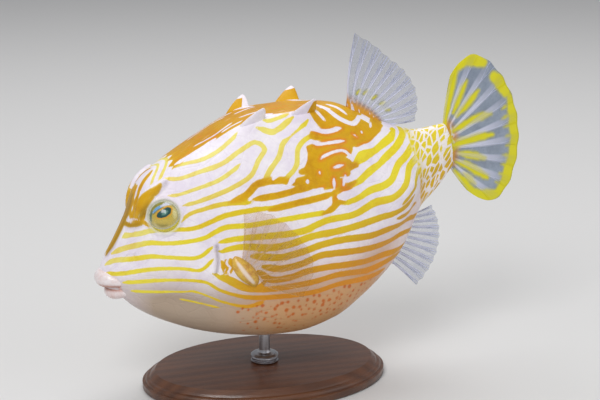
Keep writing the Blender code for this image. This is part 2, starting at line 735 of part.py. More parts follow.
def build_fins(fish, scraps, finishes):
    """The three fins on the middle plane, and the two side fins, each a fan and its fleshy lobe in one."""
    for name, fan, finish in (("dorsal_fin", DORSAL_FIN, "fin"), ("anal_fin", ANAL_FIN, "fin"),
                              ("tail_fin", TAIL_FIN, "tail")):
        made = median_fin(name, fan, fish, finishes[finish])
        grown_body(REAR_BODY_RINGS, scraps)
        combine(made, "DIFFERENCE", scraps)
    for side, word in SIDES:
        made = side_fan(f"side_fin_{word}", side, fish, finishes["fin"])
        side_lobe(side, scraps, finishes["fin"])
        combine(made, "UNION", scraps)
        grown_body(SHOULDER_RINGS, scraps)
        combine(made, "DIFFERENCE", scraps)


def pitched(point):
    """A point of the fish's frame in the upright frame of the stand, in millimetres."""
    return Matrix.Rotation(-FISH_PITCH, 3, "Y") @ Vector(point)


def lowest_belly():
    """The lowest point of the tipped fish's belly, where the rod meets it."""
    span = TAPER_START - HEAD_END
    stations = [HEAD_END + span * n / BELLY_STEPS for n in range(BELLY_STEPS)]
    return min((Vector((a, 0.0, section(a, 1.0)[1])) for a in stations), key=lambda p: pitched(p).z)


def oval_base(foot, floor, collection, finish):
    """The flat oval base, an outline with a rounded edge whose middle is below the foot point."""
    outline = bpy.data.curves.new("stand_base", "CURVE")
    outline.dimensions = "2D"
    outline.fill_mode = "BOTH"
    outline.extrude = (BASE_THICKNESS / 2 - BASE_EDGE) * MM
    outline.bevel_depth = BASE_EDGE * MM
    outline.bevel_resolution = 1
    spline = outline.splines.new("POLY")
    spline.points.add(BASE_SIDES - 1)
    for n in range(BASE_SIDES):
        turn = 2 * math.pi * n / BASE_SIDES
        spline.points[n].co = ((BASE_LENGTH / 2 - BASE_EDGE) * MM * math.cos(turn),
                               (BASE_WIDTH / 2 - BASE_EDGE) * MM * math.sin(turn), 0.0, 1.0)
    spline.use_cyclic_u = True
    drawn = bpy.data.objects.new("stand_base_outline", outline)
    collection.objects.link(drawn)
    mesh = bpy.data.meshes.new_from_object(drawn.evaluated_get(bpy.context.evaluated_depsgraph_get()))
    bpy.data.objects.remove(drawn)
    work = bmesh.new()
    work.from_mesh(mesh)
    bmesh.ops.remove_doubles(work, verts=work.verts, dist=WELD * MM)
    bmesh.ops.recalc_face_normals(work, faces=work.faces)
    work.to_mesh(mesh)
    work.free()
    mesh.materials.clear()
    base = linked("stand_base", mesh, collection, finish)
    base.location = Vector((foot.x, 0.0, floor + BASE_THICKNESS / 2)) * MM
    return base


def turned_rod(bottom, foot, collection, finish):
    """The rod and its collar, turned round an upright axis below the foot point, and too long at the top."""
    top = foot.z + ROD_SPARE
    shoulder = bottom + COLLAR_HEIGHT
    profile = [(0.0, top), (ROD_RADIUS, top), (ROD_RADIUS, shoulder), (COLLAR_RADIUS - COLLAR_EDGE, shoulder),
               (COLLAR_RADIUS, shoulder - COLLAR_EDGE), (COLLAR_RADIUS, bottom), (0.0, bottom)]
    mesh = bpy.data.meshes.new("stand_rod")
    edges = [(n, n + 1) for n in range(len(profile) - 1)]
    mesh.from_pydata([Vector((x, 0.0, z)) * MM for x, z in profile], edges, [])
    rod = bpy.data.objects.new("stand_rod", mesh)
    mesh.materials.append(finish)
    collection.objects.link(rod)
    turning = rod.modifiers.new("turning", "SCREW")
    turning.axis = "Z"
    turning.steps = ROD_SIDES
    turning.render_steps = ROD_SIDES
    turning.use_merge_vertices = True
    turning.merge_threshold = WELD * MM
    turned = bpy.data.meshes.new_from_object(rod.evaluated_get(bpy.context.evaluated_depsgraph_get()))
    rod.modifiers.clear()
    turned.transform(Matrix.Translation(Vector((foot.x, 0.0, 0.0)) * MM))
    rod.data = turned
    return rod


def build_stand(stand, scraps, finishes, tipped):
    """The base and the rod, which the tipped fish's belly cuts to length. Returns the height of the floor."""
    foot = pitched(lowest_belly())
    floor = foot.z - ROD_HEIGHT - BASE_THICKNESS
    oval_base(foot, floor, stand, finishes["base"])
    rod = turned_rod(floor + BASE_THICKNESS + GAP, foot, stand, finishes["steel"])
    belly = grown_body(REAR_BODY_RINGS, scraps)
    belly.matrix_world = tipped
    bpy.context.view_layer.update()
    combine(rod, "DIFFERENCE", scraps)
    return floor


def settle(objects, floor):
    """Puts the frame's origin under the middle of the whole model, on the surface that it stands on."""
    bpy.context.view_layer.update()
    corners = [o.matrix_world @ v.co for o in objects for v in o.data.vertices]
    middle_x = (min(c.x for c in corners) + max(c.x for c in corners)) / 2
    middle_y = (min(c.y for c in corners) + max(c.y for c in corners)) / 2
    shift = Vector((-middle_x, -middle_y, -floor * MM))
    for made in objects:
        made.matrix_world = Matrix.Translation(shift) @ made.matrix_world


def main():
    """Clears the scene and builds the fish and its stand."""
    for old in list(bpy.data.objects):
        bpy.data.objects.remove(old)
    fish = new_collection("boxfish")
    stand = new_collection("boxfish_stand")
    scraps = new_collection("cutters")
    finishes = {
        "hide": material("hide", HIDE, 0.42), "fin": material("fin_web", FIN_GREY, 0.4),
        "tail": material("tail_web", TAIL_YELLOW, 0.4), "eye": material("eye", EYE_GREEN, 0.1),
        "lip": material("lips", LIP_PINK, 0.4), "base": material("stand_wood", WALNUT, 0.35),
        "steel": material("stand_steel", STEEL, 0.3, 1.0),
    }
    build_head(fish, scraps, finishes)
    build_lips(fish, scraps, finishes)
    build_trunk(fish, scraps, finishes)
    build_fins(fish, scraps, finishes)
    tipped = Matrix.Rotation(-FISH_PITCH, 4, "Y")
    for made in fish.objects:
        made.matrix_world = tipped @ made.matrix_world
    floor = build_stand(stand, scraps, finishes, tipped)
    settle(list(fish.objects) + list(stand.objects), floor)


main()
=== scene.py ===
"""The looks of a life-size boxfish on its display stand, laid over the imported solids.

The fish is drawn in its own frame: a runs from the lips to the tail, y from the middle to its right side, and
d from its belly to its back. Sizes are in millimetres, and become metres where a mesh is made. A place on the
skin is (a, share), where share runs from 0 at the middle of the back to 1 at that of the belly, and is negative
on the left side. The marks give it in hundredths.
"""

import logging
import math
from dataclasses import dataclass, field
from enum import Enum

import bmesh
import bpy
import numpy as np
from mathutils import Matrix, Vector


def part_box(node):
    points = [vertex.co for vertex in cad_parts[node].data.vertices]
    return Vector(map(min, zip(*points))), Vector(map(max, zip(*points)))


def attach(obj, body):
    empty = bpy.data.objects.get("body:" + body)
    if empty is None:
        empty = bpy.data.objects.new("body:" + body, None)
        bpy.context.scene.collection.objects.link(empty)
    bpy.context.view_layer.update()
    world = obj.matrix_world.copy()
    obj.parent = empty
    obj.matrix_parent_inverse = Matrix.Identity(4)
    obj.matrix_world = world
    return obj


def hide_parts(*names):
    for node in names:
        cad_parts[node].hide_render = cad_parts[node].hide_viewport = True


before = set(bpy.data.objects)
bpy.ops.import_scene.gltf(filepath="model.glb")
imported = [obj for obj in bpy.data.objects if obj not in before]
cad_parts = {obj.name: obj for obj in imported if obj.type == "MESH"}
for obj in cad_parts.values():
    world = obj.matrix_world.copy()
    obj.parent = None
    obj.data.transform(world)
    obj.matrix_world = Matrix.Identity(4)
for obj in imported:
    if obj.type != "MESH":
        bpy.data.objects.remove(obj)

log = logging.getLogger("boxfish")

MM = 0.001
BODY = "root"
FISH_PITCH = math.radians(10.3)

# Places along the body, and the swing of the tail to the right.
SNOUT_START = 2.4
HEAD_END = 43.0
STALK_END = 136.0
SWING_START = 114.0
SWING_RADIUS = 200.0

# The long curves of the body, each as (distance from the lips, size), as in the part's source.
BACK_HEIGHT = ((2.4, 2.6), (3.4, 4.6), (9.8, 12.6), (15.0, 19.4), (19.6, 27.2), (24.5, 31.4),
               (31.0, 34.0), (46.0, 39.6), (57.0, 43.0), (67.0, 44.2), (85.0, 42.4), (95.0, 40.0),
               (103.0, 35.0), (112.0, 28.8), (126.0, 22.2), (137.0, 21.6))
BELLY_HEIGHT = ((2.4, -4.0), (5.6, -6.4), (7.4, -9.2), (10.0, -12.9), (15.0, -17.8), (23.0, -23.6),
                (31.0, -28.2), (43.0, -33.2), (55.5, -36.8), (68.0, -38.4), (79.0, -37.0), (90.0, -32.6),
                (100.0, -27.2), (108.3, -21.0), (115.0, -13.4), (121.0, -6.2), (127.3, -2.4), (137.0, 5.4))
RIDGE_HEIGHT = ((2.4, 1.8), (3.4, 3.6), (10.0, 10.8), (15.0, 16.8), (20.0, 24.6), (24.0, 28.4), (29.3, 31.0),
                (36.0, 34.4), (46.6, 38.4), (57.3, 42.0), (66.5, 43.2), (84.0, 41.2), (95.0, 37.4),
                (103.0, 32.0), (112.0, 26.2), (126.0, 20.0), (137.0, 19.6))
RIDGE_HALF = ((2.4, 1.8), (12.0, 4.8), (20.0, 7.4), (29.0, 9.4), (66.0, 10.0), (85.0, 9.4),
              (100.0, 6.6), (112.0, 4.6), (122.0, 3.6), (137.0, 2.4))
FLANK_HEIGHT = ((2.4, -1.2), (30.0, 2.0), (60.0, 2.0), (100.0, 3.0), (115.0, 6.0), (122.0, 9.0),
                (137.0, 13.4))
FLANK_HALF = ((2.4, 3.6), (6.0, 6.6), (12.0, 10.2), (20.0, 13.6), (30.0, 16.9), (42.0, 20.0), (55.0, 22.2),
              (68.0, 23.0), (82.0, 22.4), (95.0, 20.4), (105.0, 18.0), (112.0, 15.6), (116.5, 12.8),
              (120.0, 9.0), (124.0, 6.6), (137.0, 3.8))
KEEL_HEIGHT = ((2.4, -3.2), (8.0, -6.6), (22.8, -11.4), (39.0, -15.8), (55.5, -18.4), (76.5, -20.6),
               (90.0, -18.6), (102.0, -13.0), (112.0, -6.0), (118.0, -0.4), (124.0, 3.0), (137.0, 8.6))
KEEL_HALF = ((2.4, 3.0), (12.0, 9.2), (25.0, 13.8), (42.0, 18.4), (60.0, 20.6), (80.0, 19.6), (95.0, 16.0),
             (105.0, 13.8), (112.0, 11.4), (118.0, 7.8), (124.0, 5.2), (137.0, 3.0))
RIDGE_SHARE = 0.11
FLANK_SHARE = 0.50
KEEL_SHARE = 0.71
ROUNDING_STEP = 0.014
ROUNDING_WEIGHTS = (1, 4, 6, 4, 1)
BACK_FULLNESS = 0.6
UPPER_BULGE = 0.075
LOWER_BULGE = 0.07
BELLY_FULLNESS = 0.92

# The head's forms, as in the part's source.
EYE_STATION = 25.8
EYE_SHARE = 0.262
EYE_RADIUS = 6.8
EYE_SINK = 4.3
EYE_EDGE = math.sqrt(EYE_RADIUS ** 2 - EYE_SINK ** 2)

# The photo's camera: how it stands to the fish, and the pixels of the frame to a millimetre of the fish.
CAMERA_YAW = math.radians(18.0)
CAMERA_RISE = math.radians(15.0)
CAMERA_LENS = 85.0
CAMERA_SENSOR = 36.0
FRAME_WIDTH_PX = 600
PX_PER_MM = 2.797
CAMERA_AIM = (77.146, 0.0, 7.720)

Knots = tuple[tuple[float, float], ...]


class Side(Enum):
    """A side of the fish, and the way it lies along y."""

    LEFT = -1
    RIGHT = 1


class Slot(Enum):
    """The record's material slots."""

    HIDE = "hide"
    LIPS = "lips"
    EYE = "eye"
    FIN = "fin_web"
    TAIL = "tail_web"
    WOOD = "stand_wood"
    STEEL = "stand_steel"


def srgb(red: int, green: int, blue: int) -> tuple[float, float, float, float]:
    """A colour given in screen values from 0 to 255, as the linear values that a shader takes."""
    linear = [c / 255 / 12.92 if c <= 10 else ((c / 255 + 0.055) / 1.055) ** 2.4 for c in (red, green, blue)]
    return (*linear, 1.0)


def smooth_step(value: np.ndarray, low: float, high: float) -> np.ndarray:
    """A share that rises smoothly from 0 at low to 1 at high.

    Args:
        value: The values to grade.
        low: Where the rise starts. It may be more than high, for a fall.
        high: Where the rise ends.

    Returns:
        The shares, from 0 to 1.
    """
    t = np.clip((value - low) / (high - low), 0.0, 1.0)
    return t * t * (3 - 2 * t)


def between(value: np.ndarray, low: float, inner_low: float, inner_high: float, high: float) -> np.ndarray:
    """A share that rises smoothly from low to inner_low, and falls from inner_high to high."""
    return smooth_step(value, low, inner_low) * smooth_step(value, high, inner_high)


def along(knots: Knots, at: np.ndarray) -> np.ndarray:
    """The values of a long curve: a cubic through its knots that doesn't overshoot them.

    Args:
        knots: The curve's (place, value) pairs, in order.
        at: The places to read it at.

    Returns:
        The values there, level beyond both ends.
    """
    places = np.array([k[0] for k in knots])
    values = np.array([k[1] for k in knots])
    steps = np.diff(values) / np.diff(places)
    slopes = np.concatenate([steps[:1], np.zeros(len(places) - 2), steps[-1:]])
    before, after = steps[:-1], steps[1:]
    turning = before * after > 0
    slopes[1:-1][turning] = (2 * before * after)[turning] / (before + after)[turning]
    at = np.clip(np.asarray(at, float), places[0], places[-1])
    i = np.clip(np.searchsorted(places, at, side="right") - 1, 0, len(places) - 2)
    width = places[i + 1] - places[i]
    t = (at - places[i]) / width
    return ((2 * t ** 3 - 3 * t ** 2 + 1) * values[i] + (t ** 3 - 2 * t ** 2 + t) * width * slopes[i]
            + (3 * t ** 2 - 2 * t ** 3) * values[i + 1] + (t ** 3 - t ** 2) * width * slopes[i + 1])


def arc(start: np.ndarray, middle: np.ndarray, end: np.ndarray, t: np.ndarray) -> np.ndarray:
    """Points of quadratic Bezier curves, one for each t."""
    t = t[..., None]
    return (1 - t) ** 2 * start + 2 * t * (1 - t) * middle + t * t * end


def bulged(start: np.ndarray, end: np.ndarray, bulge: float) -> np.ndarray:
    """The control points that swell straight runs outwards by a share of their length."""
    run = end - start
    outwards = np.stack([-run[..., 1], run[..., 0]], -1)
    return (start + end) / 2 + outwards * bulge * 2


def sharp_section(a: np.ndarray, share: np.ndarray) -> np.ndarray:
    """The body's section before its ridges are rounded.

    Args:
        a: The stations, in millimetres from the lips.
        share: From 0 at the back to 1 at the belly, and negative on the left side.

    Returns:
        The (y, d) of each point.
    """
    side = np.where(share < 0, -1.0, 1.0)
    share = np.abs(share)
    over = share > 1
    side = np.where(over, -side, side)
    share = np.where(over, 2 - share, share)
    zero = np.zeros_like(a)
    back = np.stack([zero, along(BACK_HEIGHT, a)], -1)
    ridge = np.stack([along(RIDGE_HALF, a), along(RIDGE_HEIGHT, a)], -1)
    flank = np.stack([along(FLANK_HALF, a), along(FLANK_HEIGHT, a)], -1)
    keel = np.stack([along(KEEL_HALF, a), along(KEEL_HEIGHT, a)], -1)
    belly = np.stack([zero, along(BELLY_HEIGHT, a)], -1)
    over_back = np.stack([ridge[..., 0] * BACK_FULLNESS, back[..., 1]], -1)
    under_belly = np.stack([keel[..., 0] * BELLY_FULLNESS, belly[..., 1]], -1)
    runs = (
        (0.0, RIDGE_SHARE, back, over_back, ridge),
        (RIDGE_SHARE, FLANK_SHARE, ridge, bulged(ridge, flank, UPPER_BULGE), flank),
        (FLANK_SHARE, KEEL_SHARE, flank, bulged(flank, keel, LOWER_BULGE), keel),
        (KEEL_SHARE, 1.0, keel, under_belly, belly),
    )
    point = np.zeros(np.shape(a) + (2,))
    for low, high, start, middle, end in runs:
        inside = (share >= low) & (share <= high)
        drawn = arc(start, middle, end, np.clip((share - low) / (high - low), 0, 1))
        point[inside] = drawn[inside]
    point[..., 0] *= side
    return point


def skin(a: np.ndarray, share: np.ndarray) -> np.ndarray:
    """Points on the skin of the straight fish, as (a, y, d).

    Args:
        a: The stations, in millimetres from the lips.
        share: The shares round the body.

    Returns:
        The points.
    """
    a, share = np.broadcast_arrays(np.asarray(a, float), np.asarray(share, float))
    half = len(ROUNDING_WEIGHTS) // 2
    total = sum(w * sharp_section(a, share + (n - half) * ROUNDING_STEP)
                for n, w in enumerate(ROUNDING_WEIGHTS)) / sum(ROUNDING_WEIGHTS)
    return np.concatenate([a[..., None], total], -1)


def skin_normal(a: float, share: float) -> np.ndarray:
    """The outward direction of the skin at one place.

    Args:
        a: The station.
        share: The share.

    Returns:
        A vector of length 1.
    """
    lengthwise = skin(a + 0.5, share) - skin(a - 0.5, share)
    around = skin(a, share + ROUNDING_STEP) - skin(a, share - ROUNDING_STEP)
    normal = np.cross(lengthwise, around)
    normal /= np.linalg.norm(normal)
    return normal if normal[1] * (1 if share > 0 else -1) > 0 else -normal


def share_at(a: np.ndarray, d: np.ndarray) -> np.ndarray:
    """The share at which the skin of the flank passes each height, found by halving.

    Args:
        a: The stations.
        d: The heights.

    Returns:
        The shares, of the right side.
    """
    low, high = np.full(np.shape(a), RIDGE_SHARE), np.ones(np.shape(a))
    for _ in range(16):
        middle = (low + high) / 2
        above = skin(a, middle)[..., 2] > d
        low, high = np.where(above, middle, low), np.where(above, high, middle)
    return (low + high) / 2


def skin_reach(a: np.ndarray, d: np.ndarray) -> np.ndarray:
    """How far out the skin of the flank lies at each station and height."""
    a, d = np.broadcast_arrays(np.asarray(a, float), np.asarray(d, float))
    return skin(a, share_at(a, d))[..., 1]


def swung(points: np.ndarray) -> np.ndarray:
    """Carries points of the straight fish to their place with the tail swung to the right.

    Args:
        points: The points, in the fish's frame.

    Returns:
        The points of the swung fish.
    """
    a, y, d = np.moveaxis(points, -1, 0)
    turn = np.maximum(0.0, (a - SWING_START) / SWING_RADIUS)
    reach = SWING_RADIUS - y
    moved_a = np.where(turn > 0, SWING_START + reach * np.sin(turn), a)
    moved_y = np.where(turn > 0, SWING_RADIUS - reach * np.cos(turn), y)
    return np.stack([moved_a, moved_y, d], -1)


def eye_axis(side: Side) -> tuple[np.ndarray, np.ndarray]:
    """The middle of an eyeball and the direction it looks in, in the fish's frame."""
    share = EYE_SHARE * side.value
    normal = skin_normal(EYE_STATION, share)
    return skin(EYE_STATION, share) - normal * EYE_SINK, normal


@dataclass(frozen=True)
class Placement:
    """How the fish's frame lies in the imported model: its pitch, and its shift in metres."""

    shift: tuple[float, float, float]

    @classmethod
    def found(cls) -> "Placement":
        """The placement that puts the left eye where its solid is."""
        low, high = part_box("eye_left")
        wanted = np.array((low + high) / 2)
        return cls(tuple(wanted - cls((0.0, 0.0, 0.0)).carry(eye_axis(Side.LEFT)[0])))

    def turn(self, vectors: np.ndarray) -> np.ndarray:
        """Vectors of the fish's frame, turned into the model's frame."""
        a, y, d = np.moveaxis(np.asarray(vectors, float), -1, 0)
        cos, sin = math.cos(FISH_PITCH), math.sin(FISH_PITCH)
        return np.stack([a * cos - d * sin, y, a * sin + d * cos], -1)

    def carry(self, points: np.ndarray) -> np.ndarray:
        """Points of the straight or swung fish in millimetres, as points of the model in metres."""
        return self.turn(points) * MM + np.array(self.shift)


def smooth_path(knots: np.ndarray, spacing: float) -> np.ndarray:
    """A smooth path through knots.

    Args:
        knots: The knots, one a row.
        spacing: About how far apart the path's points are.

    Returns:
        The points of a centripetal-like cubic through the knots, ends included.
    """
    knots = np.asarray(knots, float)
    if len(knots) < 3:
        count = max(2, int(np.linalg.norm(knots[-1] - knots[0]) / spacing) + 1)
        return knots[:1] + (knots[-1:] - knots[:1]) * np.linspace(0, 1, count)[:, None]
    padded = np.vstack([2 * knots[0] - knots[1], knots, 2 * knots[-1] - knots[-2]])
    pieces = []
    for before, start, end, after in zip(padded, padded[1:], padded[2:], padded[3:]):
        count = max(2, int(np.linalg.norm(end - start) / spacing) + 1)
        t = np.linspace(0, 1, count, endpoint=False)[:, None]
        pieces.append(0.5 * (2 * start + (end - before) * t
                             + (2 * before - 5 * start + 4 * end - after) * t ** 2
                             + (3 * start - before - 3 * end + after) * t ** 3))
    return np.vstack(pieces + [knots[-1:]])


def path_distance(points: np.ndarray, path: np.ndarray, radius: float, taper: float, reach: float) -> np.ndarray:
    """How far points lie from the edge of a mark drawn along a path.

    Args:
        points: The points to measure from.
        path: The points of the mark's middle line.
        radius: Half the mark's width.
        taper: The share of its width that the mark keeps at both ends.
        reach: How far out the distance is worked out. Beyond it, it is reach.

    Returns:
        The distances, negative inside the mark.
    """
    found = np.full(len(points), reach)
    low, high = path.min(0) - radius - reach, path.max(0) + radius + reach
    near = np.nonzero(np.all((points >= low) & (points <= high), axis=1))[0]
    if not len(near):
        return found
    close = points[near]
    lengths = np.linalg.norm(np.diff(path, axis=0), axis=1)
    total = max(lengths.sum(), 1e-6)
    done = 0.0
    best = np.full(len(near), reach)
    for start, end, length in zip(path, path[1:], lengths):
        run = end - start
        t = np.clip((close - start) @ run / max(length * length, 1e-9), 0, 1)
        gap = np.linalg.norm(close - start - t[:, None] * run, axis=1)
        place = (done + t * length) / total
        from_end = np.minimum(place, 1 - place) * total
        width = radius * (taper + (1 - taper) * np.minimum(1, from_end / (2.5 * radius)))
        best = np.minimum(best, gap - width)
        done += length
    found[near] = best
    return found


@dataclass(frozen=True)
class Mark:
    """A stroke of the pattern: half its width in millimetres, and the places on the skin that it runs through."""

    half_width: float
    places: Knots

    def path(self, side: Side) -> np.ndarray:
        """The stroke's middle line on one side of the straight fish."""
        knots = smooth_path(np.array(self.places), 1.2)
        return skin(knots[:, 0], knots[:, 1] / 100 * side.value)

    def distance(self, points: np.ndarray, side: Side, taper: float, reach: float) -> np.ndarray:
        """How far points lie from the stroke's edge on one side, negative inside it."""
        return path_distance(points, self.path(side), self.half_width, taper, reach)


# Lemon lines on the white skin, from the snout to the tail, and then those of the shoulder and the forehead.
YELLOW_MARKS = (
    Mark(0.95, ((12, 10), (17, 23.5), (21, 29), (26, 32.5), (34.5, 36.5), (45, 36), (55.5, 37.5), (67.5, 39),
                (79, 40))),
    Mark(0.95, ((7, 11), (13, 24), (19.5, 34), (25.5, 39), (35.5, 41.5), (44, 40), (54, 42), (70, 43.5),
                (80.5, 44.5))),
    Mark(0.9, ((4, 13), (6.5, 20.5), (12, 33.5), (18.5, 41), (24.5, 45.5), (33, 48.5), (39, 45.5))),
    Mark(0.95, ((41, 44.5), (48, 45), (57, 46.5), (69, 48), (79.5, 47), (90, 48), (99, 46.5), (107, 48),
                (112.5, 45.5), (116, 36.5), (121, 33), (127.5, 24.5))),
    Mark(0.8, ((3, 30), (7.5, 42.5), (17.5, 48.5), (28.5, 52.5), (33.5, 54), (38.5, 50))),
    Mark(0.95, ((40.5, 48), (48, 48), (57.5, 50.5), (64.5, 51), (73, 50.5), (83, 51.5), (98.5, 53),
                (104.5, 55), (111, 58), (116, 59))),
    Mark(0.95, ((51, 52), (60, 54.5), (67.5, 54.5), (76, 54), (85, 55), (94.5, 58), (104, 62), (112.5, 71.5),
                (118, 84))),
    Mark(0.95, ((54, 56.5), (59.5, 58.5), (67, 58.5), (76.5, 57.5), (92, 62), (103, 68.5), (110.5, 75.5),
                (115, 86))),
    Mark(0.95, ((52, 58), (56, 62), (62.5, 62.5), (70, 61.5), (81, 63), (94.5, 68.5), (103.5, 75.5),
                (111, 85))),
    Mark(0.9, ((37, 56), (40.5, 59.5), (46, 64), (52.5, 65.5), (58.5, 66), (70, 66), (81.5, 66.5),
               (94.5, 73), (103.5, 79.5), (109, 87))),
    Mark(0.75, ((8, 54.5), (21.5, 57), (33.5, 59.5), (38.5, 64), (46.5, 68), (58, 69.5), (71, 70),
                (80.5, 70), (90, 74), (100, 81))),
    Mark(0.62, ((10, 64.5), (25.5, 64.5), (30.5, 64.5), (38.5, 69.5), (46, 72), (52, 71))),
    Mark(0.55, ((24.5, 69), (31, 70.5), (38, 72.5))),
    Mark(0.95, ((86, 43.5), (92.5, 43), (97.5, 41.5), (106.5, 40), (111.5, 33), (116, 28.5), (120.5, 20),
                (121, 13), (124.5, 11.5))),
    Mark(1.0, ((84, 40), (92.5, 38), (99.5, 34), (108, 27.5), (114, 20.5), (118, 10), (118, 0))),
    Mark(1.7, ((94, 31), (97, 28.8), (101.6, 25.4), (107.4, 20.4), (112.5, 14.6), (114.7, 9))),
    Mark(0.8, ((116, 51.5), (119.5, 46), (124, 43), (126.5, 41))),
    Mark(0.85, ((106.5, 59.5), (111, 64), (114.5, 68), (117.5, 73))),
    Mark(0.8, ((109.5, 54.5), (114, 54), (117.5, 52.5))),
    Mark(0.75, ((32.5, 9), (41, 13.5), (48.5, 14.5), (56.5, 13), (60, 12))),
    Mark(0.85, ((29, 11), (34, 15.5), (40.5, 17.5), (49, 19), (56.5, 18), (61.5, 17.5), (64, 20.5),
                (61, 23), (56.5, 27), (48.5, 28), (38.5, 27.5), (32.5, 26))),
    Mark(0.75, ((28.5, 18.5), (33.5, 21.5), (44, 23.5), (51, 23), (54.5, 22))),
    Mark(0.85, ((30.8, 32), (33.5, 30.4), (39.5, 31), (46, 32), (55, 35))),
    Mark(0.95, ((82, 14), (77, 17.5), (71, 20), (68, 24), (64, 27), (60.5, 30))),
    Mark(0.9, ((86, 20.5), (81, 19.5), (75.5, 22.5), (73, 28), (67.5, 31.5))),
    Mark(1.1, ((63.5, 13.5), (68, 16), (71, 15.5), (77, 12.5))),
    Mark(0.7, ((66, 11.5), (69, 12.5), (76, 11))),
    Mark(0.9, ((91, -1), (92, 6), (96.5, 12.5), (100, 9.5), (102.5, 0.5))),
    Mark(0.75, ((24, 10.4), (25.8, 7.6), (28, 4), (29.4, 1.2), (29.6, -2))),
    Mark(0.85, ((27, 10.6), (29.4, 7.8), (31.6, 4.4), (32.8, 1.2), (33, -2))),
    Mark(1.2, ((12.6, 10.5), (14, 15), (16, 20))),
    Mark(0.9, ((11.2, 9), (13.4, 14.6), (15.6, 19.5))),
    Mark(0.8, ((39.6, 57.2), (43, 59.6), (45.4, 62), (48, 64), (51, 64.6), (53.4, 62.6))),
)

# Broad golden strokes that run together into the patch behind the shoulder and the fin's fleshy foot.
GOLDEN_MARKS = (
    Mark(2.2, ((87, 9), (90.5, 15.5), (99, 18.5), (104, 15))),
    Mark(1.3, ((83.5, 11), (86.5, 15.5), (90.5, 17))),
    Mark(2.2, ((82, 19.5), (88, 20), (95.5, 21), (100.5, 20))),
    Mark(2.4, ((79, 23.5), (86.5, 24), (94, 25))),
    Mark(2.3, ((77.5, 26.5), (85.5, 27.5), (92, 30))),
    Mark(2.3, ((74, 30), (82.5, 31), (90.5, 33.5))),
    Mark(2.2, ((70, 32.5), (78, 34), (88, 36.5))),
    Mark(1.3, ((48, 32.2), (53.4, 32.2), (57.6, 30.2), (61.2, 30.2), (67.4, 31.4), (71, 33.6))),
    Mark(1.2, ((55.6, 34.2), (64, 35.3), (71.2, 35.4), (78, 35.2))),
    Mark(1.2, ((60, 39), (70.2, 39.2), (79.2, 39.4), (84, 39))),
    Mark(1.3, ((83.8, 38.6), (83.8, 41), (82.6, 43.6))),
    Mark(1.2, ((78.4, 44.7), (82, 43.9), (84.4, 42.6), (87, 43))),
    Mark(1.3, ((84.2, 38.6), (88.5, 38.6), (92.6, 37.3))),
    Mark(1.2, ((89, 31.4), (92, 31.4), (95, 31.2))),
    Mark(2.6, ((102, 0), (108, 0), (109.5, 3.5), (106, 12))),
    Mark(4.0, ((89, 3), (94, 6), (99, 7), (103, 4))),
    Mark(3.0, ((89, 0), (96, 0), (103, 0))),
    Mark(4.6, ((86, 11), (92, 13), (99, 13), (105, 13))),
    Mark(4.2, ((83, 19), (90, 19.5), (98, 19.5), (104, 17))),
    Mark(3.6, ((80, 24.5), (88, 25.5), (93, 25.5))),
    Mark(3.4, ((77, 29), (84, 30.5), (89, 32.5))),
    Mark(2.6, ((74, 33.5), (82, 35), (87, 37.5))),
    Mark(1.3, ((27.8, 13.3), (25.6, 14.2), (23.4, 13.8), (21.4, 12.9), (19.6, 12.5), (18.2, 11.9), (16.9, 9.6),
               (16.3, 6.5))),
    Mark(1.4, ((24.2, 16.0), (21.4, 15.8), (19.4, 15.2), (17.6, 13.4))),
    Mark(1.2, ((21.2, 18.6), (19.4, 18.8), (17.8, 17.2))),
    Mark(0.8, ((13.2, 2), (14.4, 8.8), (16.5, 15.8), (18.4, 21.2))),
    Mark(2.2, ((97, 23), (102.5, 19), (107.5, 13), (110.5, 8))),
    Mark(1.15, ((27, 1.6), (25.6, 2.9), (23, 4.2), (21, 5.6), (19.6, 6.8))),
    Mark(1.7, ((16, 4), (16.2, 8), (16.8, 13), (18.4, 18))),
    Mark(1.3, ((20.4, 7), (19, 7.6), (17.8, 8.6), (17, 10))),
    Mark(1.1, ((18.8, 19.6), (19.8, 23.5), (21, 26.4))),
    Mark(2.6, ((20.4, 1.5), (18.6, 2.4), (16.6, 3.4), (14.6, 3))),
    Mark(2.2, ((20.2, 0), (18, 0), (14.6, 0))),
    Mark(1.4, ((16, 0), (13, 0), (9, 0), (6, 0))),
    Mark(1.9, ((19.6, 9.6), (18.4, 11), (17.4, 13), (17.2, 16), (18.6, 20))),
    Mark(1.5, ((15, 2.6), (13.6, 3), (11, 3), (8, 3), (5.4, 3))),
    Mark(1.9, ((42.3, 52), (42.1, 54.5), (42.3, 57))),
    Mark(1.3, ((40.8, 51.8), (41, 54.2), (41, 56.2))),
    Mark(1.3, ((43.8, 51.6), (43.8, 54), (42.8, 56.8))),
)

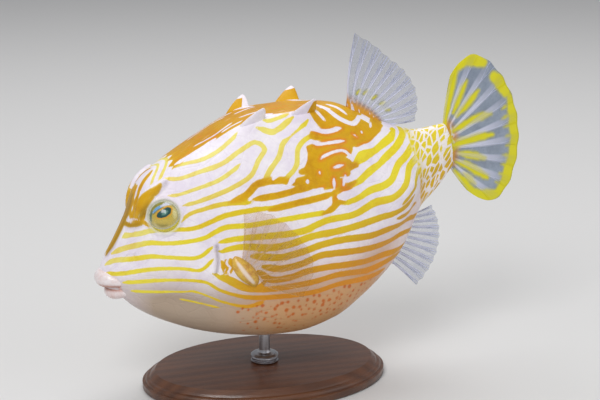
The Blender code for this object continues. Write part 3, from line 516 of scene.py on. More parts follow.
# White marks that cut through the golden ones.
WHITE_MARKS = (
    Mark(0.5, ((15.8, 18.4), (14.2, 13.4), (12.6, 8.6), (11, 9.2), (9.2, 9.2), (7.4, 7.4))),
    Mark(0.3, ((15.8, 8.8), (16.2, 10.8), (17, 13.6), (18.2, 18))),
    Mark(0.42, ((16, 9.8), (15.3, 11))),
    Mark(0.6, ((27, 0), (24, 0), (22.4, 0))),
    Mark(0.36, ((43, 51.2), (42.2, 53), (43.2, 54.8), (42.2, 56.2), (42.6, 58))),
    Mark(0.3, ((40.8, 56.2), (41.6, 54.8))),
    Mark(1.25, ((87, 3.5), (83.5, 7.5), (80, 12.5), (73.5, 17), (68, 18))),
    Mark(1.35, ((67.5, 6), (64, 9), (61, 11.5), (55.5, 15))),
    Mark(0.95, ((93.5, 17), (87, 18.5), (82.5, 17), (79, 17.5), (73, 21), (69.5, 26.5), (64, 30))),
    Mark(0.7, ((93, 22), (84, 22.5), (80.5, 21.5))),
    Mark(0.95, ((78, 22.5), (77, 25.5), (75.5, 28.5))),
    Mark(0.65, ((82, 27.5), (84, 26.5), (91, 25.5), (94.5, 29))),
    Mark(0.8, ((85.5, 31), (90, 30.5))),
    Mark(1.2, ((80.5, 31.4), (80.5, 31.8))),
    Mark(1.25, ((75.5, 33.3), (75.5, 33.7))),
    Mark(1.15, ((85, 34.5), (84.5, 37))),
    Mark(1.05, ((89.6, 34.2), (88, 37.3))),
    Mark(1.1, ((71.5, 31), (69, 33))),
    Mark(0.6, ((55, 35.8), (61.8, 37.1), (69.6, 37.1), (75.6, 37.1), (80.4, 36.6))),
    Mark(0.7, ((57.4, 32.4), (60.5, 32.6), (64.6, 33.4))),
    Mark(0.6, ((60.9, 40.6), (69, 41.2), (75.8, 41.2), (82, 41.4))),
    Mark(0.75, ((87.6, 5.2), (90, 8.8), (93.5, 13), (98, 14.5), (101, 11.5), (102.6, 7.4))),
    Mark(0.6, ((91.8, 4.4), (94.8, 6.8), (97.5, 10.5))),
    Mark(0.4, ((85.5, 10.5), (88, 14.5))),
    Mark(0.55, ((106.4, 9.5), (105.6, 12.5))),
    Mark(0.85, ((101, 16.8), (101, 17.2))),
    Mark(0.5, ((97, 19), (98.5, 20))),
    Mark(0.95, ((96, 26), (99.5, 24), (104, 21.5), (110.5, 13.5), (113, 10.5))),
    Mark(1.05, ((93.5, 34.5), (96.5, 33), (105.5, 27))),
    Mark(0.95, ((85, 40.5), (90.5, 40.5), (94, 39))),
    Mark(0.85, ((34, 8.4), (38, 9.2), (43, 9.7), (49.5, 9.3))),
    Mark(0.6, ((67, 9.5), (70.5, 9.5))),
    Mark(0.4, ((42, 5), (50, 6.5), (57, 5))),
    Mark(0.35, ((52, 8), (60, 7.5))),
    Mark(0.35, ((60, 3), (68, 4))),
)

# Brown tone with painted shade under the brow and along the snout, and the soft crease behind the mouth, which is
# also painted darker as shade.
BROWN_SHADE_MARKS = (
    Mark(1.1, ((22.4, 17.6), (20.6, 18.4), (18.8, 17.8))),
    Mark(0.6, ((13.4, 4), (14.6, 10), (16.6, 16.4), (18.2, 20.6))),
    Mark(1.3, ((18.6, 1.6), (16, 2.4), (12, 3.6), (9, 4.4), (5.6, 4.6))),
)
CREASE_MARK = Mark(0.3, ((5.6, 46), (6.6, 64), (7.4, 76)))


@dataclass(frozen=True)
class Wire:
    """An output of a node, where each sum, difference or product with it adds a Math node."""

    board: "NodeBoard"
    socket: bpy.types.NodeSocket

    def __add__(self, other: object) -> "Wire":
        """The sum with a value or a wire."""
        return self.board.math("ADD", self, other)

    def __sub__(self, other: object) -> "Wire":
        """What is left when a value or a wire is taken away."""
        return self.board.math("SUBTRACT", self, other)

    def __rsub__(self, other: float) -> "Wire":
        """What is left of a value when this is taken away."""
        return self.board.math("SUBTRACT", other, self)

    def __mul__(self, other: object) -> "Wire":
        """The product with a value or a wire."""
        return self.board.math("MULTIPLY", self, other)


class NodeBoard:
    """A node tree with short ways to add nodes and join them."""

    def __init__(self, tree: bpy.types.NodeTree) -> None:
        """Keeps the tree that nodes are added to."""
        self.tree = tree

    def add(self, kind: str, inputs: dict | None = None, **settings: object) -> bpy.types.Node:
        """Adds a node.

        Args:
            kind: The node's type name.
            inputs: Values, sockets or wires for its inputs, by name or number.
            **settings: The node's own properties.

        Returns:
            The new node.
        """
        node = self.tree.nodes.new(kind)
        for name, value in settings.items():
            setattr(node, name, value)
        for name, value in (inputs or {}).items():
            self.give(node.inputs[name], value)
        return node

    def give(self, socket: bpy.types.NodeSocket, value: object) -> None:
        """Links an input to a wire or a socket, or sets its value.

        Args:
            socket: The input.
            value: What it is given.
        """
        value = value.socket if isinstance(value, Wire) else value
        if isinstance(value, bpy.types.NodeSocket):
            self.tree.links.new(value, socket)
        else:
            socket.default_value = value

    def wire(self, kind: str, inputs: dict | None = None, output: int | str = 0, **settings: object) -> Wire:
        """One output of a new node."""
        return Wire(self, self.add(kind, inputs, **settings).outputs[output])

    def math(self, operation: str, first: object, second: object = 0.0, clamp: bool = False) -> Wire:
        """The result of a Math node on two values or wires."""
        return self.wire("ShaderNodeMath", {0: first, 1: second}, operation=operation, use_clamp=clamp)

    def mix(self, share: object, first: object, second: object) -> Wire:
        """A colour between two, by a share from 0 to 1."""
        return self.wire("ShaderNodeMix", {0: share, 6: first, 7: second}, 2, data_type="RGBA")

    def step(self, value: object, low: float, high: float) -> Wire:
        """A share that rises smoothly from 0 at low to 1 at high."""
        return self.wire("ShaderNodeMapRange", {"Value": value, "From Min": low, "From Max": high},
                         interpolation_type="SMOOTHSTEP", clamp=True)

    def attribute(self, name: str, output: str = "Fac") -> Wire:
        """A value of the mesh's attribute."""
        return self.wire("ShaderNodeAttribute", None, output, attribute_name=name)

    def noise(self, vector: object, scale: float, detail: float = 3.0, roughness: float = 0.55) -> Wire:
        """A noise value round 0.5."""
        return self.wire("ShaderNodeTexNoise", {"Vector": vector, "Scale": scale, "Detail": detail,
                                                "Roughness": roughness}, "Fac")

    def stretched(self, vector: object, *scale: float) -> Wire:
        """Places with each axis scaled on its own."""
        return self.wire("ShaderNodeMapping", {"Vector": vector, "Scale": scale})

    def cell_edge(self, vector: object, scale: float) -> Wire:
        """How far places lie from the edges of a net of cells."""
        return self.wire("ShaderNodeTexVoronoi", {"Vector": vector, "Scale": scale}, "Distance",
                         feature="DISTANCE_TO_EDGE")


def node_group(name: str, inputs: dict[str, tuple[str, object]], output: str, kind: str,
               tree_type: str = "ShaderNodeTree") -> tuple[NodeBoard, bpy.types.NodeOutputs]:
    """Starts a shader node group or a Geometry Nodes tree.

    Args:
        name: The group's name.
        inputs: Each input's socket kind and starting value, by name.
        output: The name of its one output.
        kind: The socket kind of the output.
        tree_type: What sort of tree it is.

    Returns:
        The board of the new group, and what its input node gives.
    """
    tree = bpy.data.node_groups.new(name, tree_type)
    for label, (of_kind, value) in inputs.items():
        socket = tree.interface.new_socket(label, in_out="INPUT", socket_type=f"NodeSocket{of_kind}")
        if value is not None:
            socket.default_value = value
    tree.interface.new_socket(output, in_out="OUTPUT", socket_type=f"NodeSocket{kind}")
    board = NodeBoard(tree)
    return board, board.add("NodeGroupInput").outputs


def mottle_group() -> bpy.types.NodeTree:
    """Uneven colour: a broad noise with a fine one over it, as a value round 0.5.

    Returns:
        The shader group, built at its first use.
    """
    if "mottle" in bpy.data.node_groups:
        return bpy.data.node_groups["mottle"]
    board, given = node_group("mottle", {"Vector": ("Vector", None), "Scale": ("Float", 120.0),
                                         "Fine Share": ("Float", 0.3)}, "Value", "Float")
    fine_scale = board.math("MULTIPLY", given["Scale"], 7.0)
    broad = board.noise(given["Vector"], given["Scale"])
    fine = board.noise(given["Vector"], fine_scale, detail=4.0)
    kept = board.math("SUBTRACT", 1.0, given["Fine Share"])
    board.add("NodeGroupOutput", {0: broad * kept + fine * given["Fine Share"]})
    return board.tree


def grain_group() -> bpy.types.NodeTree:
    """A fine unevenness of the surface, laid over a relief that is given as a height in metres.

    Returns:
        The shader group, built at its first use.
    """
    if "grain" in bpy.data.node_groups:
        return bpy.data.node_groups["grain"]
    board, given = node_group("grain", {"Vector": ("Vector", None), "Scale": ("Float", 2500.0),
                                        "Depth": ("Float", 0.00002), "Relief": ("Float", 0.0)}, "Normal", "Vector")
    height = board.noise(given["Vector"], given["Scale"], detail=4.0) * given["Depth"] + given["Relief"]
    board.add("NodeGroupOutput", {0: board.wire("ShaderNodeBump", {"Height": height, "Strength": 1.0,
                                                                   "Distance": 1.0}, "Normal")})
    return board.tree


def ended(board: NodeBoard, geometry: Wire, finish: bpy.types.NodeSocket) -> bpy.types.NodeTree:
    """Ends a Geometry Nodes tree: its instances are made real, and take their finish.

    Args:
        board: The tree's board.
        geometry: What the tree has made.
        finish: The tree's input for a material.

    Returns:
        The finished tree.
    """
    real = board.wire("GeometryNodeRealizeInstances", {"Geometry": geometry})
    dressed = board.wire("GeometryNodeSetMaterial", {"Geometry": real, "Material": finish})
    board.add("NodeGroupOutput", {0: dressed})
    return board.tree


def ray_tree() -> bpy.types.NodeTree:
    """Geometry Nodes that sweep fin rays: round strands along the edges of a mesh, as thick as its girth says.

    Returns:
        The tree, built at its first use.
    """
    if "fin_rays" in bpy.data.node_groups:
        return bpy.data.node_groups["fin_rays"]
    sizes = {"Thickness": ("Float", 1.0), "Sides": ("Int", 6)}
    board, given = node_group("fin_rays", {"Strands": ("Geometry", None), **sizes, "Finish": ("Material", None)},
                              "Rays", "Geometry", "GeometryNodeTree")
    girth = board.wire("GeometryNodeInputNamedAttribute", {"Name": "girth"}, data_type="FLOAT")
    curves = board.wire("GeometryNodeMeshToCurve", {"Mesh": given["Strands"]})
    profile = board.wire("GeometryNodeCurvePrimitiveCircle", {"Resolution": given["Sides"], "Radius": 1.0},
                         "Curve")
    swept = board.wire("GeometryNodeCurveToMesh", {"Curve": curves, "Profile Curve": profile,
                                                   "Scale": girth * given["Thickness"], "Fill Caps": True})
    return ended(board, swept, given["Finish"])


def rib_tree() -> bpy.types.NodeTree:
    """Geometry Nodes that set small upright ribs round a ring of the collar.

    Returns:
        The tree.
    """
    sizes = {"Count": ("Int", 40), "Radius": ("Float", 0.0047), "Height": ("Float", 0.0014),
             "Width": ("Float", 0.00035)}
    board, given = node_group("collar_ribs", {"Rest": ("Geometry", None), **sizes, "Finish": ("Material", None)},
                              "Ribs", "Geometry", "GeometryNodeTree")
    ring = board.wire("GeometryNodeMeshCircle", {"Vertices": given["Count"], "Radius": given["Radius"]})
    rib = board.wire("GeometryNodeMeshCylinder", {"Vertices": 8, "Radius": given["Width"],
                                                  "Depth": given["Height"]}, "Mesh")
    set_out = board.wire("GeometryNodeInstanceOnPoints", {"Points": ring, "Instance": rib})
    return ended(board, set_out, given["Finish"])


def grown(obj: bpy.types.Object, tree: bpy.types.NodeTree, **inputs: object) -> bpy.types.Object:
    """Runs a Geometry Nodes tree on an object and keeps its result as a plain mesh.

    Args:
        obj: The object whose mesh the tree starts from.
        tree: The tree.
        **inputs: Its named inputs.

    Returns:
        The same object, with the new mesh and no modifier.
    """
    modifier = obj.modifiers.new(tree.name, "NODES")
    modifier.node_group = tree
    ids = {item.name: item.identifier for item in tree.interface.items_tree
           if item.item_type == "SOCKET" and item.in_out == "INPUT"}
    for name, value in inputs.items():
        modifier[ids[name]] = value
    mesh = bpy.data.meshes.new_from_object(obj.evaluated_get(bpy.context.evaluated_depsgraph_get()))
    obj.modifiers.clear()
    obj.data = mesh
    mesh.shade_smooth()
    return obj


def in_scene(name: str, data: bpy.types.ID) -> bpy.types.Object:
    """A new object of some data, in the scene."""
    obj = bpy.data.objects.new(name, data)
    bpy.context.scene.collection.objects.link(obj)
    return obj


def store(mesh: bpy.types.Mesh, values: dict[str, np.ndarray]) -> None:
    """Keeps values of a mesh's points as its attributes.

    Args:
        mesh: The mesh.
        values: The values by name, as numbers, vectors or colours.
    """
    kinds = {1: ("FLOAT", "value"), 3: ("FLOAT_VECTOR", "vector"), 4: ("FLOAT_COLOR", "color")}
    for name, value in values.items():
        kind, key = kinds[1 if value.ndim == 1 else value.shape[1]]
        mesh.attributes.new(name, kind, "POINT").data.foreach_set(key, value.astype(np.float32).ravel())


@dataclass
class Surface:
    """A mesh in the making: its points in metres, its faces, and named values of its points."""

    points: np.ndarray
    faces: list[tuple[int, ...]]
    values: dict[str, np.ndarray] = field(default_factory=dict)

    def joined(self, others: list["Surface"]) -> "Surface":
        """This surface with others beside it.

        Args:
            others: The others. A value that one of them lacks is 0 there.

        Returns:
            The one surface of them all.
        """
        every = [self, *others]
        faces: list[tuple[int, ...]] = []
        start = 0
        for surface in every:
            faces += [tuple(n + start for n in face) for face in surface.faces]
            start += len(surface.points)
        values = {}
        for name in sorted({name for s in every for name in s.values}):
            width = next(s.values[name].shape[1:] for s in every if name in s.values)
            values[name] = np.concatenate([s.values.get(name, np.zeros((len(s.points),) + width))
                                           for s in every])
        return Surface(np.vstack([s.points for s in every]), faces, values)

    def made(self, name: str, material: bpy.types.Material, sharp: float | None = None) -> bpy.types.Object:
        """The mesh object of this surface, with its faces turned outwards.

        Args:
            name: The object's name.
            material: Its finish.
            sharp: The angle past which an edge stays sharp, or None for a smooth surface.

        Returns:
            The object, in the scene.
        """
        mesh = bpy.data.meshes.new(name)
        mesh.from_pydata(self.points.tolist(), [], self.faces)
        work = bmesh.new()
        work.from_mesh(mesh)
        bmesh.ops.recalc_face_normals(work, faces=work.faces)
        work.to_mesh(mesh)
        work.free()
        store(mesh, self.values)
        mesh.shade_smooth()
        if sharp is not None:
            mesh.set_sharp_from_angle(angle=sharp)
        mesh.materials.append(material)
        return in_scene(name, mesh)


def grid_faces(rows: int, columns: int, closed: bool) -> list[tuple[int, ...]]:
    """The quads of a grid whose points run row by row.

    Args:
        rows: How many rows it has.
        columns: How many points a row has.
        closed: Whether each row's end is joined to its start.

    Returns:
        The faces, as the numbers of their points.
    """
    faces = []
    for r in range(rows - 1):
        for c in range(columns if closed else columns - 1):
            n = (c + 1) % columns
            faces.append((r * columns + c, r * columns + n, (r + 1) * columns + n, (r + 1) * columns + c))
    return faces


def capped_tube(rings: np.ndarray) -> tuple[np.ndarray, list[tuple[int, ...]]]:
    """A closed skin over rings of points, with a fan over each end.

    Args:
        rings: The points, ring by ring.

    Returns:
        The points with the two end points after them, and the faces.
    """
    rows, columns = rings.shape[:2]
    points = np.vstack([rings.reshape(-1, 3), rings[0].mean(0), rings[-1].mean(0)])
    faces = grid_faces(rows, columns, True)
    last = (rows - 1) * columns
    for c in range(columns):
        n = (c + 1) % columns
        faces += [(n, c, rows * columns), (last + c, last + n, rows * columns + 1)]
    return points, faces


def tube_values(values: np.ndarray, first: float = 0, last: float = 0) -> np.ndarray:
    """The values of a tube's points, from those of its rings and of its two end points."""
    return np.append(values.ravel(), [first, last])


def placed(obj: bpy.types.Object, slot: Slot, *nodes: str) -> bpy.types.Object:
    """Sets a finished piece on the model's one body.

    Args:
        obj: The piece.
        slot: The material slot of its finish. It is not used.
        *nodes: The solids that it stands for.

    Returns:
        The piece.
    """
    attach(obj, BODY)
    if nodes:
        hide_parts(*nodes)
    log.info("%s: %d faces, stands for %s", obj.name, len(obj.data.polygons), ", ".join(nodes) or "nothing")
    return obj


def softened(grid: np.ndarray) -> np.ndarray:
    """Heights on a grid that is closed round, evened out with their neighbours.

    Args:
        grid: The heights, ring by ring.

    Returns:
        The evened heights.
    """
    grid = (np.roll(grid, 1, 1) + 2 * grid + np.roll(grid, -1, 1)) / 4
    edged = np.pad(grid, ((1, 1), (0, 0)), mode="edge")
    return (edged[:-2] + 2 * grid + edged[2:]) / 4


def ball_rise(points: np.ndarray, normals: np.ndarray, centres: np.ndarray, radii: np.ndarray) -> np.ndarray:
    """How far points move along their normals to reach the outside of a row of balls.

    Args:
        points: The points.
        normals: Their outward directions.
        centres: The middles of the balls.
        radii: The radii of the balls.

    Returns:
        The distances, 0 where a point's line misses every ball.
    """
    rise = np.zeros(len(points))
    for centre, radius in zip(centres, radii):
        reach = centre - points
        forward = (reach * normals).sum(-1)
        room = radius ** 2 - (reach ** 2).sum(-1) + forward ** 2
        rise = np.maximum(rise, np.where(room > 0, forward + np.sqrt(np.maximum(room, 0)), 0.0))
    return rise


class Paint(NodeBoard):
    """The board of a new material, with the places on the object that its patterns read."""

    def __init__(self, name: str) -> None:
        """Starts a material with a Principled BSDF."""
        self.material = bpy.data.materials.new(name)
        self.material.use_nodes = True
        super().__init__(self.material.node_tree)
        self.shader = self.tree.nodes["Principled BSDF"]
        self.place = self.wire("ShaderNodeTexCoord", None, "Object")

    def mottle(self, scale: float) -> Wire:
        """The uneven value of the shared mottle group."""
        return self.wire("ShaderNodeGroup", {"Vector": self.place, "Scale": scale}, node_tree=mottle_group())

    def finished(self, colour: Wire, rough: Wire, grain: float, depth: float, relief: object = 0.0,
                 place: Wire | None = None, **plain: float) -> bpy.types.Material:
        """Joins a finish to its shader.

        Args:
            colour: Its base colour.
            rough: Its roughness.
            grain: The scale of the surface's fine grain.
            depth: The grain's depth, in metres.
            relief: A height in metres that the grain lies on.
            place: Where the grain is read, or None for the places on the object.
            **plain: Values of the shader's own sockets, where _ stands for a space.

        Returns:
            The material.
        """
        normal = self.wire("ShaderNodeGroup", {"Vector": place or self.place, "Scale": grain, "Depth": depth,
                                               "Relief": relief}, node_tree=grain_group())
        given = {"Base_Color": colour, "Roughness": rough, "Normal": normal, **plain}
        for name, value in given.items():
            self.give(self.shader.inputs[name.replace("_", " ")], value)
        return self.material


@dataclass(frozen=True)
class SkinFinish:
    """The painted skin: lemon lines on white, a golden patch with white marks, and a tan, spotted belly, with
    painted shade.
    """

    white: tuple = srgb(247, 241, 246)
    lavender: tuple = srgb(232, 222, 236)
    lemon: tuple = srgb(238, 220, 44)
    pale_lemon: tuple = srgb(240, 228, 132)
    ochre: tuple = srgb(212, 160, 10)
    gold: tuple = srgb(220, 168, 6)
    amber: tuple = srgb(200, 140, 2)
    orange: tuple = srgb(232, 122, 36)
    blush: tuple = srgb(246, 196, 160)
    # The belly's tan and the chin's grey: partly the fish's own tone, partly painted shade of the underside.
    belly: tuple = srgb(206, 154, 98)
    chin: tuple = srgb(182, 162, 142)
    spot: tuple = srgb(196, 94, 12)
    # Brown tone, partly painted shade under the brow and along the snout.
    brown: tuple = srgb(128, 96, 10)
    socket: tuple = srgb(214, 212, 190)
    # The grey of the painted shade in the gill slit.
    slit: tuple = srgb(96, 84, 88)
    line_edge: float = 0.18
    wobble: float = 0.4
    wander_scale: float = 480.0
    mottle_scale: float = 95.0
    streak_scale: float = 520.0
    net_scale: float = 520.0
    plate_scale: float = 165.0
    plate_depth: float = 0.00006
    line_depth: float = 0.00003

    def make(self) -> bpy.types.Material:
        """Builds the material.

        Returns:
            The material of head, body and tail stalk.
        """
        board = Paint("hide")
        read, mix, step = board.attribute, board.mix, board.step
        lie = read("lie", "Vector")
        wander = board.noise(board.place, self.wander_scale, detail=2.0) - 0.5
        inked = step(read("mark") + wander * self.wobble, self.line_edge, -self.line_edge)
        streaked = read("band") * 0.9
        uneven = board.mottle(self.mottle_scale)
        streaks = board.noise(board.stretched(lie, 0.22, 1.6, 1.0), self.streak_scale, detail=4.0, roughness=0.6)

        ground = mix(step(uneven, 0.35, 0.68), self.white, self.lavender)
        # Painted shade: the belly turns tan and the chin grey, partly their own tone and partly shade of the
        # underside.
        ground = mix(read("belly"), ground, mix(read("chin"), self.belly, self.chin))
        line = mix(read("pale"), self.lemon, self.pale_lemon)
        line = mix(read("deep"), line, self.ochre)
        line = mix(step(uneven, 0.45, 0.7) * 0.35, line, self.ochre)
        line = mix(read("belly") * (1.0 - read("chin")) * 0.55, line, self.orange)
        golden = mix(step(uneven, 0.42, 0.7), self.gold, self.amber)
        golden = mix(streaked * 0.5, golden, self.amber)
        golden = mix(step(streaks, 0.54, 0.7) * streaked, golden, self.orange)
        golden = mix(read("edge") * 0.6, golden, self.orange)
        colour = mix(inked, ground, mix(read("gold"), line, golden))
        colour = mix(step(streaks, 0.4, 0.33) * streaked * 0.6, colour, self.blush)

        slanted = board.wire("ShaderNodeMapping", {"Vector": board.place, "Rotation": (0.0, 0.5, 0.0),
                                                   "Scale": (1.0, 1.3, 2.6)}, vector_type="TEXTURE")
        net = step(board.cell_edge(slanted, self.net_scale), 0.16, 0.07)
        colour = mix(net * read("stalk"), colour, self.white)
        colour = mix(step(read("spot") + wander * 0.8, 0.3, -0.35) * 0.9, colour, self.spot)
        # Painted shade under the brow and along the snout, in a brown tone.
        colour = mix(read("brown"), colour, self.brown)
        colour = mix(read("socket") * 0.8, colour, self.socket)
        # Painted shade in the crease behind the mouth, in the spots' orange-brown.
        colour = mix(read("crease"), colour, self.spot)
        # Painted shade in the gill slit.
        colour = mix(read("dark"), colour, self.slit)

        plates = step(board.cell_edge(lie, self.plate_scale), 0.0, 0.07)
        return board.finished(colour, uneven * 0.16 + 0.34, grain=2600.0, depth=0.00003,
                              relief=plates * self.plate_depth + inked * self.line_depth,
                              Specular_IOR_Level=0.3, Coat_Weight=0.12, Coat_Roughness=0.2)


@dataclass(frozen=True)
class LipFinish:
    """Soft pinkish-white lips with fine furrows and a brown-pink line of painted shade where they meet."""

    pale: tuple = srgb(240, 231, 232)
    pink: tuple = srgb(226, 202, 198)
    # The brown-pink of the painted shade where the lips meet.
    line: tuple = srgb(178, 106, 78)
    furrow_scale: float = 420.0
    furrow_depth: float = 0.00003

    def make(self) -> bpy.types.Material:
        """Builds the material.

        Returns:
            The material of both lips.
        """
        board = Paint("lips")
        uneven = board.mottle(240.0)
        colour = board.mix(board.step(uneven, 0.38, 0.66), self.pale, self.pink)
        # Painted shade where the lips meet.
        colour = board.mix(board.attribute("line"), colour, self.line)
        lie = board.attribute("lie", "Vector")
        furrows = board.wire("ShaderNodeTexWave", {"Vector": lie, "Scale": self.furrow_scale, "Distortion": 3.0,
                                                   "Detail": 2.0}, "Fac")
        return board.finished(colour, uneven * 0.2 + 0.28, grain=2400.0, depth=0.00002,
                              relief=furrows * self.furrow_depth, Coat_Weight=0.3, Coat_Roughness=0.15)


@dataclass(frozen=True)
class EyeFinish:
    """A glossy eye: the painted iris under a clear front, with fine spokes."""

    spoke: tuple = srgb(60, 56, 22)

    def make(self) -> bpy.types.Material:
        """Builds the material.

        Returns:
            The material of both eyes.
        """
        board = Paint("eye")
        spokes = board.noise(board.stretched(board.attribute("lie", "Vector"), 9.0, 1.2, 1.0), 2.2, detail=4.0)
        colour = board.mix(board.step(spokes, 0.62, 0.36) * 0.4, board.attribute("paint", "Color"), self.spoke)
        return board.finished(colour, spokes * 0.14 + 0.16, grain=1500.0, depth=0.000008,
                              Coat_Weight=0.7, Coat_Roughness=0.04)


@dataclass(frozen=True)
class FinFinish:
    """A fin's milky web or its rays: see-through but for its fleshy foot and its yellow marks."""

    name: str
    tone: tuple
    shade: tuple
    flesh: tuple = srgb(216, 150, 10)
    yellow: tuple = srgb(222, 214, 0)
    ray: tuple = srgb(222, 224, 242)
    rays: int = 11
    ray_weight: float = 1.0
    clearness: float = 0.7
    foot_share: float = 0.24
    marks: bool = False

    def make(self) -> bpy.types.Material:
        """Builds the material.

        Returns:
            The material of a web, or of its rays.
        """
        board = Paint(self.name)
        read, mix, step = board.attribute, board.mix, board.step
        places = board.add("ShaderNodeSeparateXYZ", {0: read("lie", "Vector")})
        along_fan, out = (Wire(board, socket) for socket in places.outputs[:2])
        uneven = board.mottle(170.0)
        colour = mix(step(uneven, 0.36, 0.66), self.tone, self.shade)
        crest = step(board.math("COSINE", along_fan * (2 * math.pi * (self.rays - 1))), -0.2, 0.7)
        crest = crest * step(out, 1.1, 0.5) * self.ray_weight
        colour = mix(crest * 0.85, colour, self.ray)
        foot = step(out + uneven * 0.08, self.foot_share + 0.08, self.foot_share - 0.06)
        colour = mix(foot, colour, self.flesh)
        vein = step(board.noise(board.stretched(board.place, 1.0, 1.0, 0.4), 620.0, detail=1.0), 0.58, 0.64)
        colour = mix(vein * foot * 0.85, colour, self.ray)
        solid = foot
        if self.marks:
            wander = (board.noise(board.place, 300.0) - 0.5) * 1.4
            yellow = step(read("mark") + wander, 0.95, -0.85) * (1.0 - crest * 0.3)
            colour = mix(yellow, colour, self.yellow)
            solid = board.math("MAXIMUM", foot, yellow)
        solid = board.math("MAXIMUM", solid, crest * 0.6)
        clear = (1.0 - solid) * self.clearness
        clear = board.math("MULTIPLY", clear, uneven * 0.4 + 0.8, clamp=True)
        return board.finished(colour, uneven * 0.2 + 0.3, grain=900.0, depth=0.000004,
                              Alpha=board.math("SUBTRACT", 1.0, clear, clamp=True))


@dataclass(frozen=True)
class LobeFinish:
    """The golden flesh at the foot of a side fin, with a pinkish-white line along it."""

    golden: tuple = srgb(226, 186, 72)
    pale: tuple = srgb(240, 222, 206)
    shade: tuple = srgb(188, 128, 48)

    def make(self) -> bpy.types.Material:
        """Builds the material.

        Returns:
            The material of a side fin's foot.
        """
        board = Paint("side_fin_flesh")
        uneven = board.mottle(260.0)
        colour = board.mix(board.step(uneven, 0.4, 0.66), self.golden, self.shade)
        colour = board.mix(board.attribute("line") * 0.9, colour, self.pale)
        return board.finished(colour, uneven * 0.2 + 0.3, grain=2200.0, depth=0.00004, Coat_Weight=0.2)


@dataclass(frozen=True)
class WoodFinish:
    """Dark stained wood under a thin satin lacquer, with its grain along the base."""

    dark: tuple = srgb(64, 36, 22)
    light: tuple = srgb(112, 68, 40)
    pore_depth: float = 0.00003

    def make(self) -> bpy.types.Material:
        """Builds the material.

        Returns:
            The material of the stand's base.
        """
        board = Paint("stand_wood")
        drawn = board.stretched(board.place, 0.12, 1.0, 1.0)
        figure = board.noise(drawn, 210.0, detail=5.0, roughness=0.6)
        rings = board.wire("ShaderNodeTexWave", {"Vector": drawn, "Scale": 60.0, "Distortion": 7.0, "Detail": 3.0},
                           "Fac", bands_direction="Y")
        share = board.math("ADD", figure * 0.6, rings * 0.35, clamp=True)
        pores = board.noise(drawn, 2600.0)
        return board.finished(board.mix(share, self.dark, self.light), pores * 0.22 + 0.3, grain=900.0,
                              depth=0.00001, relief=board.step(pores, 0.62, 0.5) * self.pore_depth,
                              Coat_Weight=0.35, Coat_Roughness=0.18)


@dataclass(frozen=True)
class SteelFinish:
    """Steel brushed round the rod."""

    bright: tuple = srgb(206, 206, 210)
    dull: tuple = srgb(150, 150, 156)

    def make(self) -> bpy.types.Material:
        """Builds the material.

        Returns:
            The material of the rod, its collar and the ribs.
        """
        board = Paint("stand_steel")
        flat = board.stretched(board.place, 0.1, 0.1, 1.0)
        brushed = board.noise(flat, 6000.0)
        return board.finished(board.mix(brushed, self.dull, self.bright), brushed * 0.22 + 0.2, grain=5000.0,
                              depth=0.000006, place=flat, Metallic=1.0)


@dataclass(frozen=True)
class Spine:
    """A spine of the back ridge: its tip's place, its length and rise, and how far its paint is golden."""

    tip: float
    length: float
    rise: float
    golden_share: float


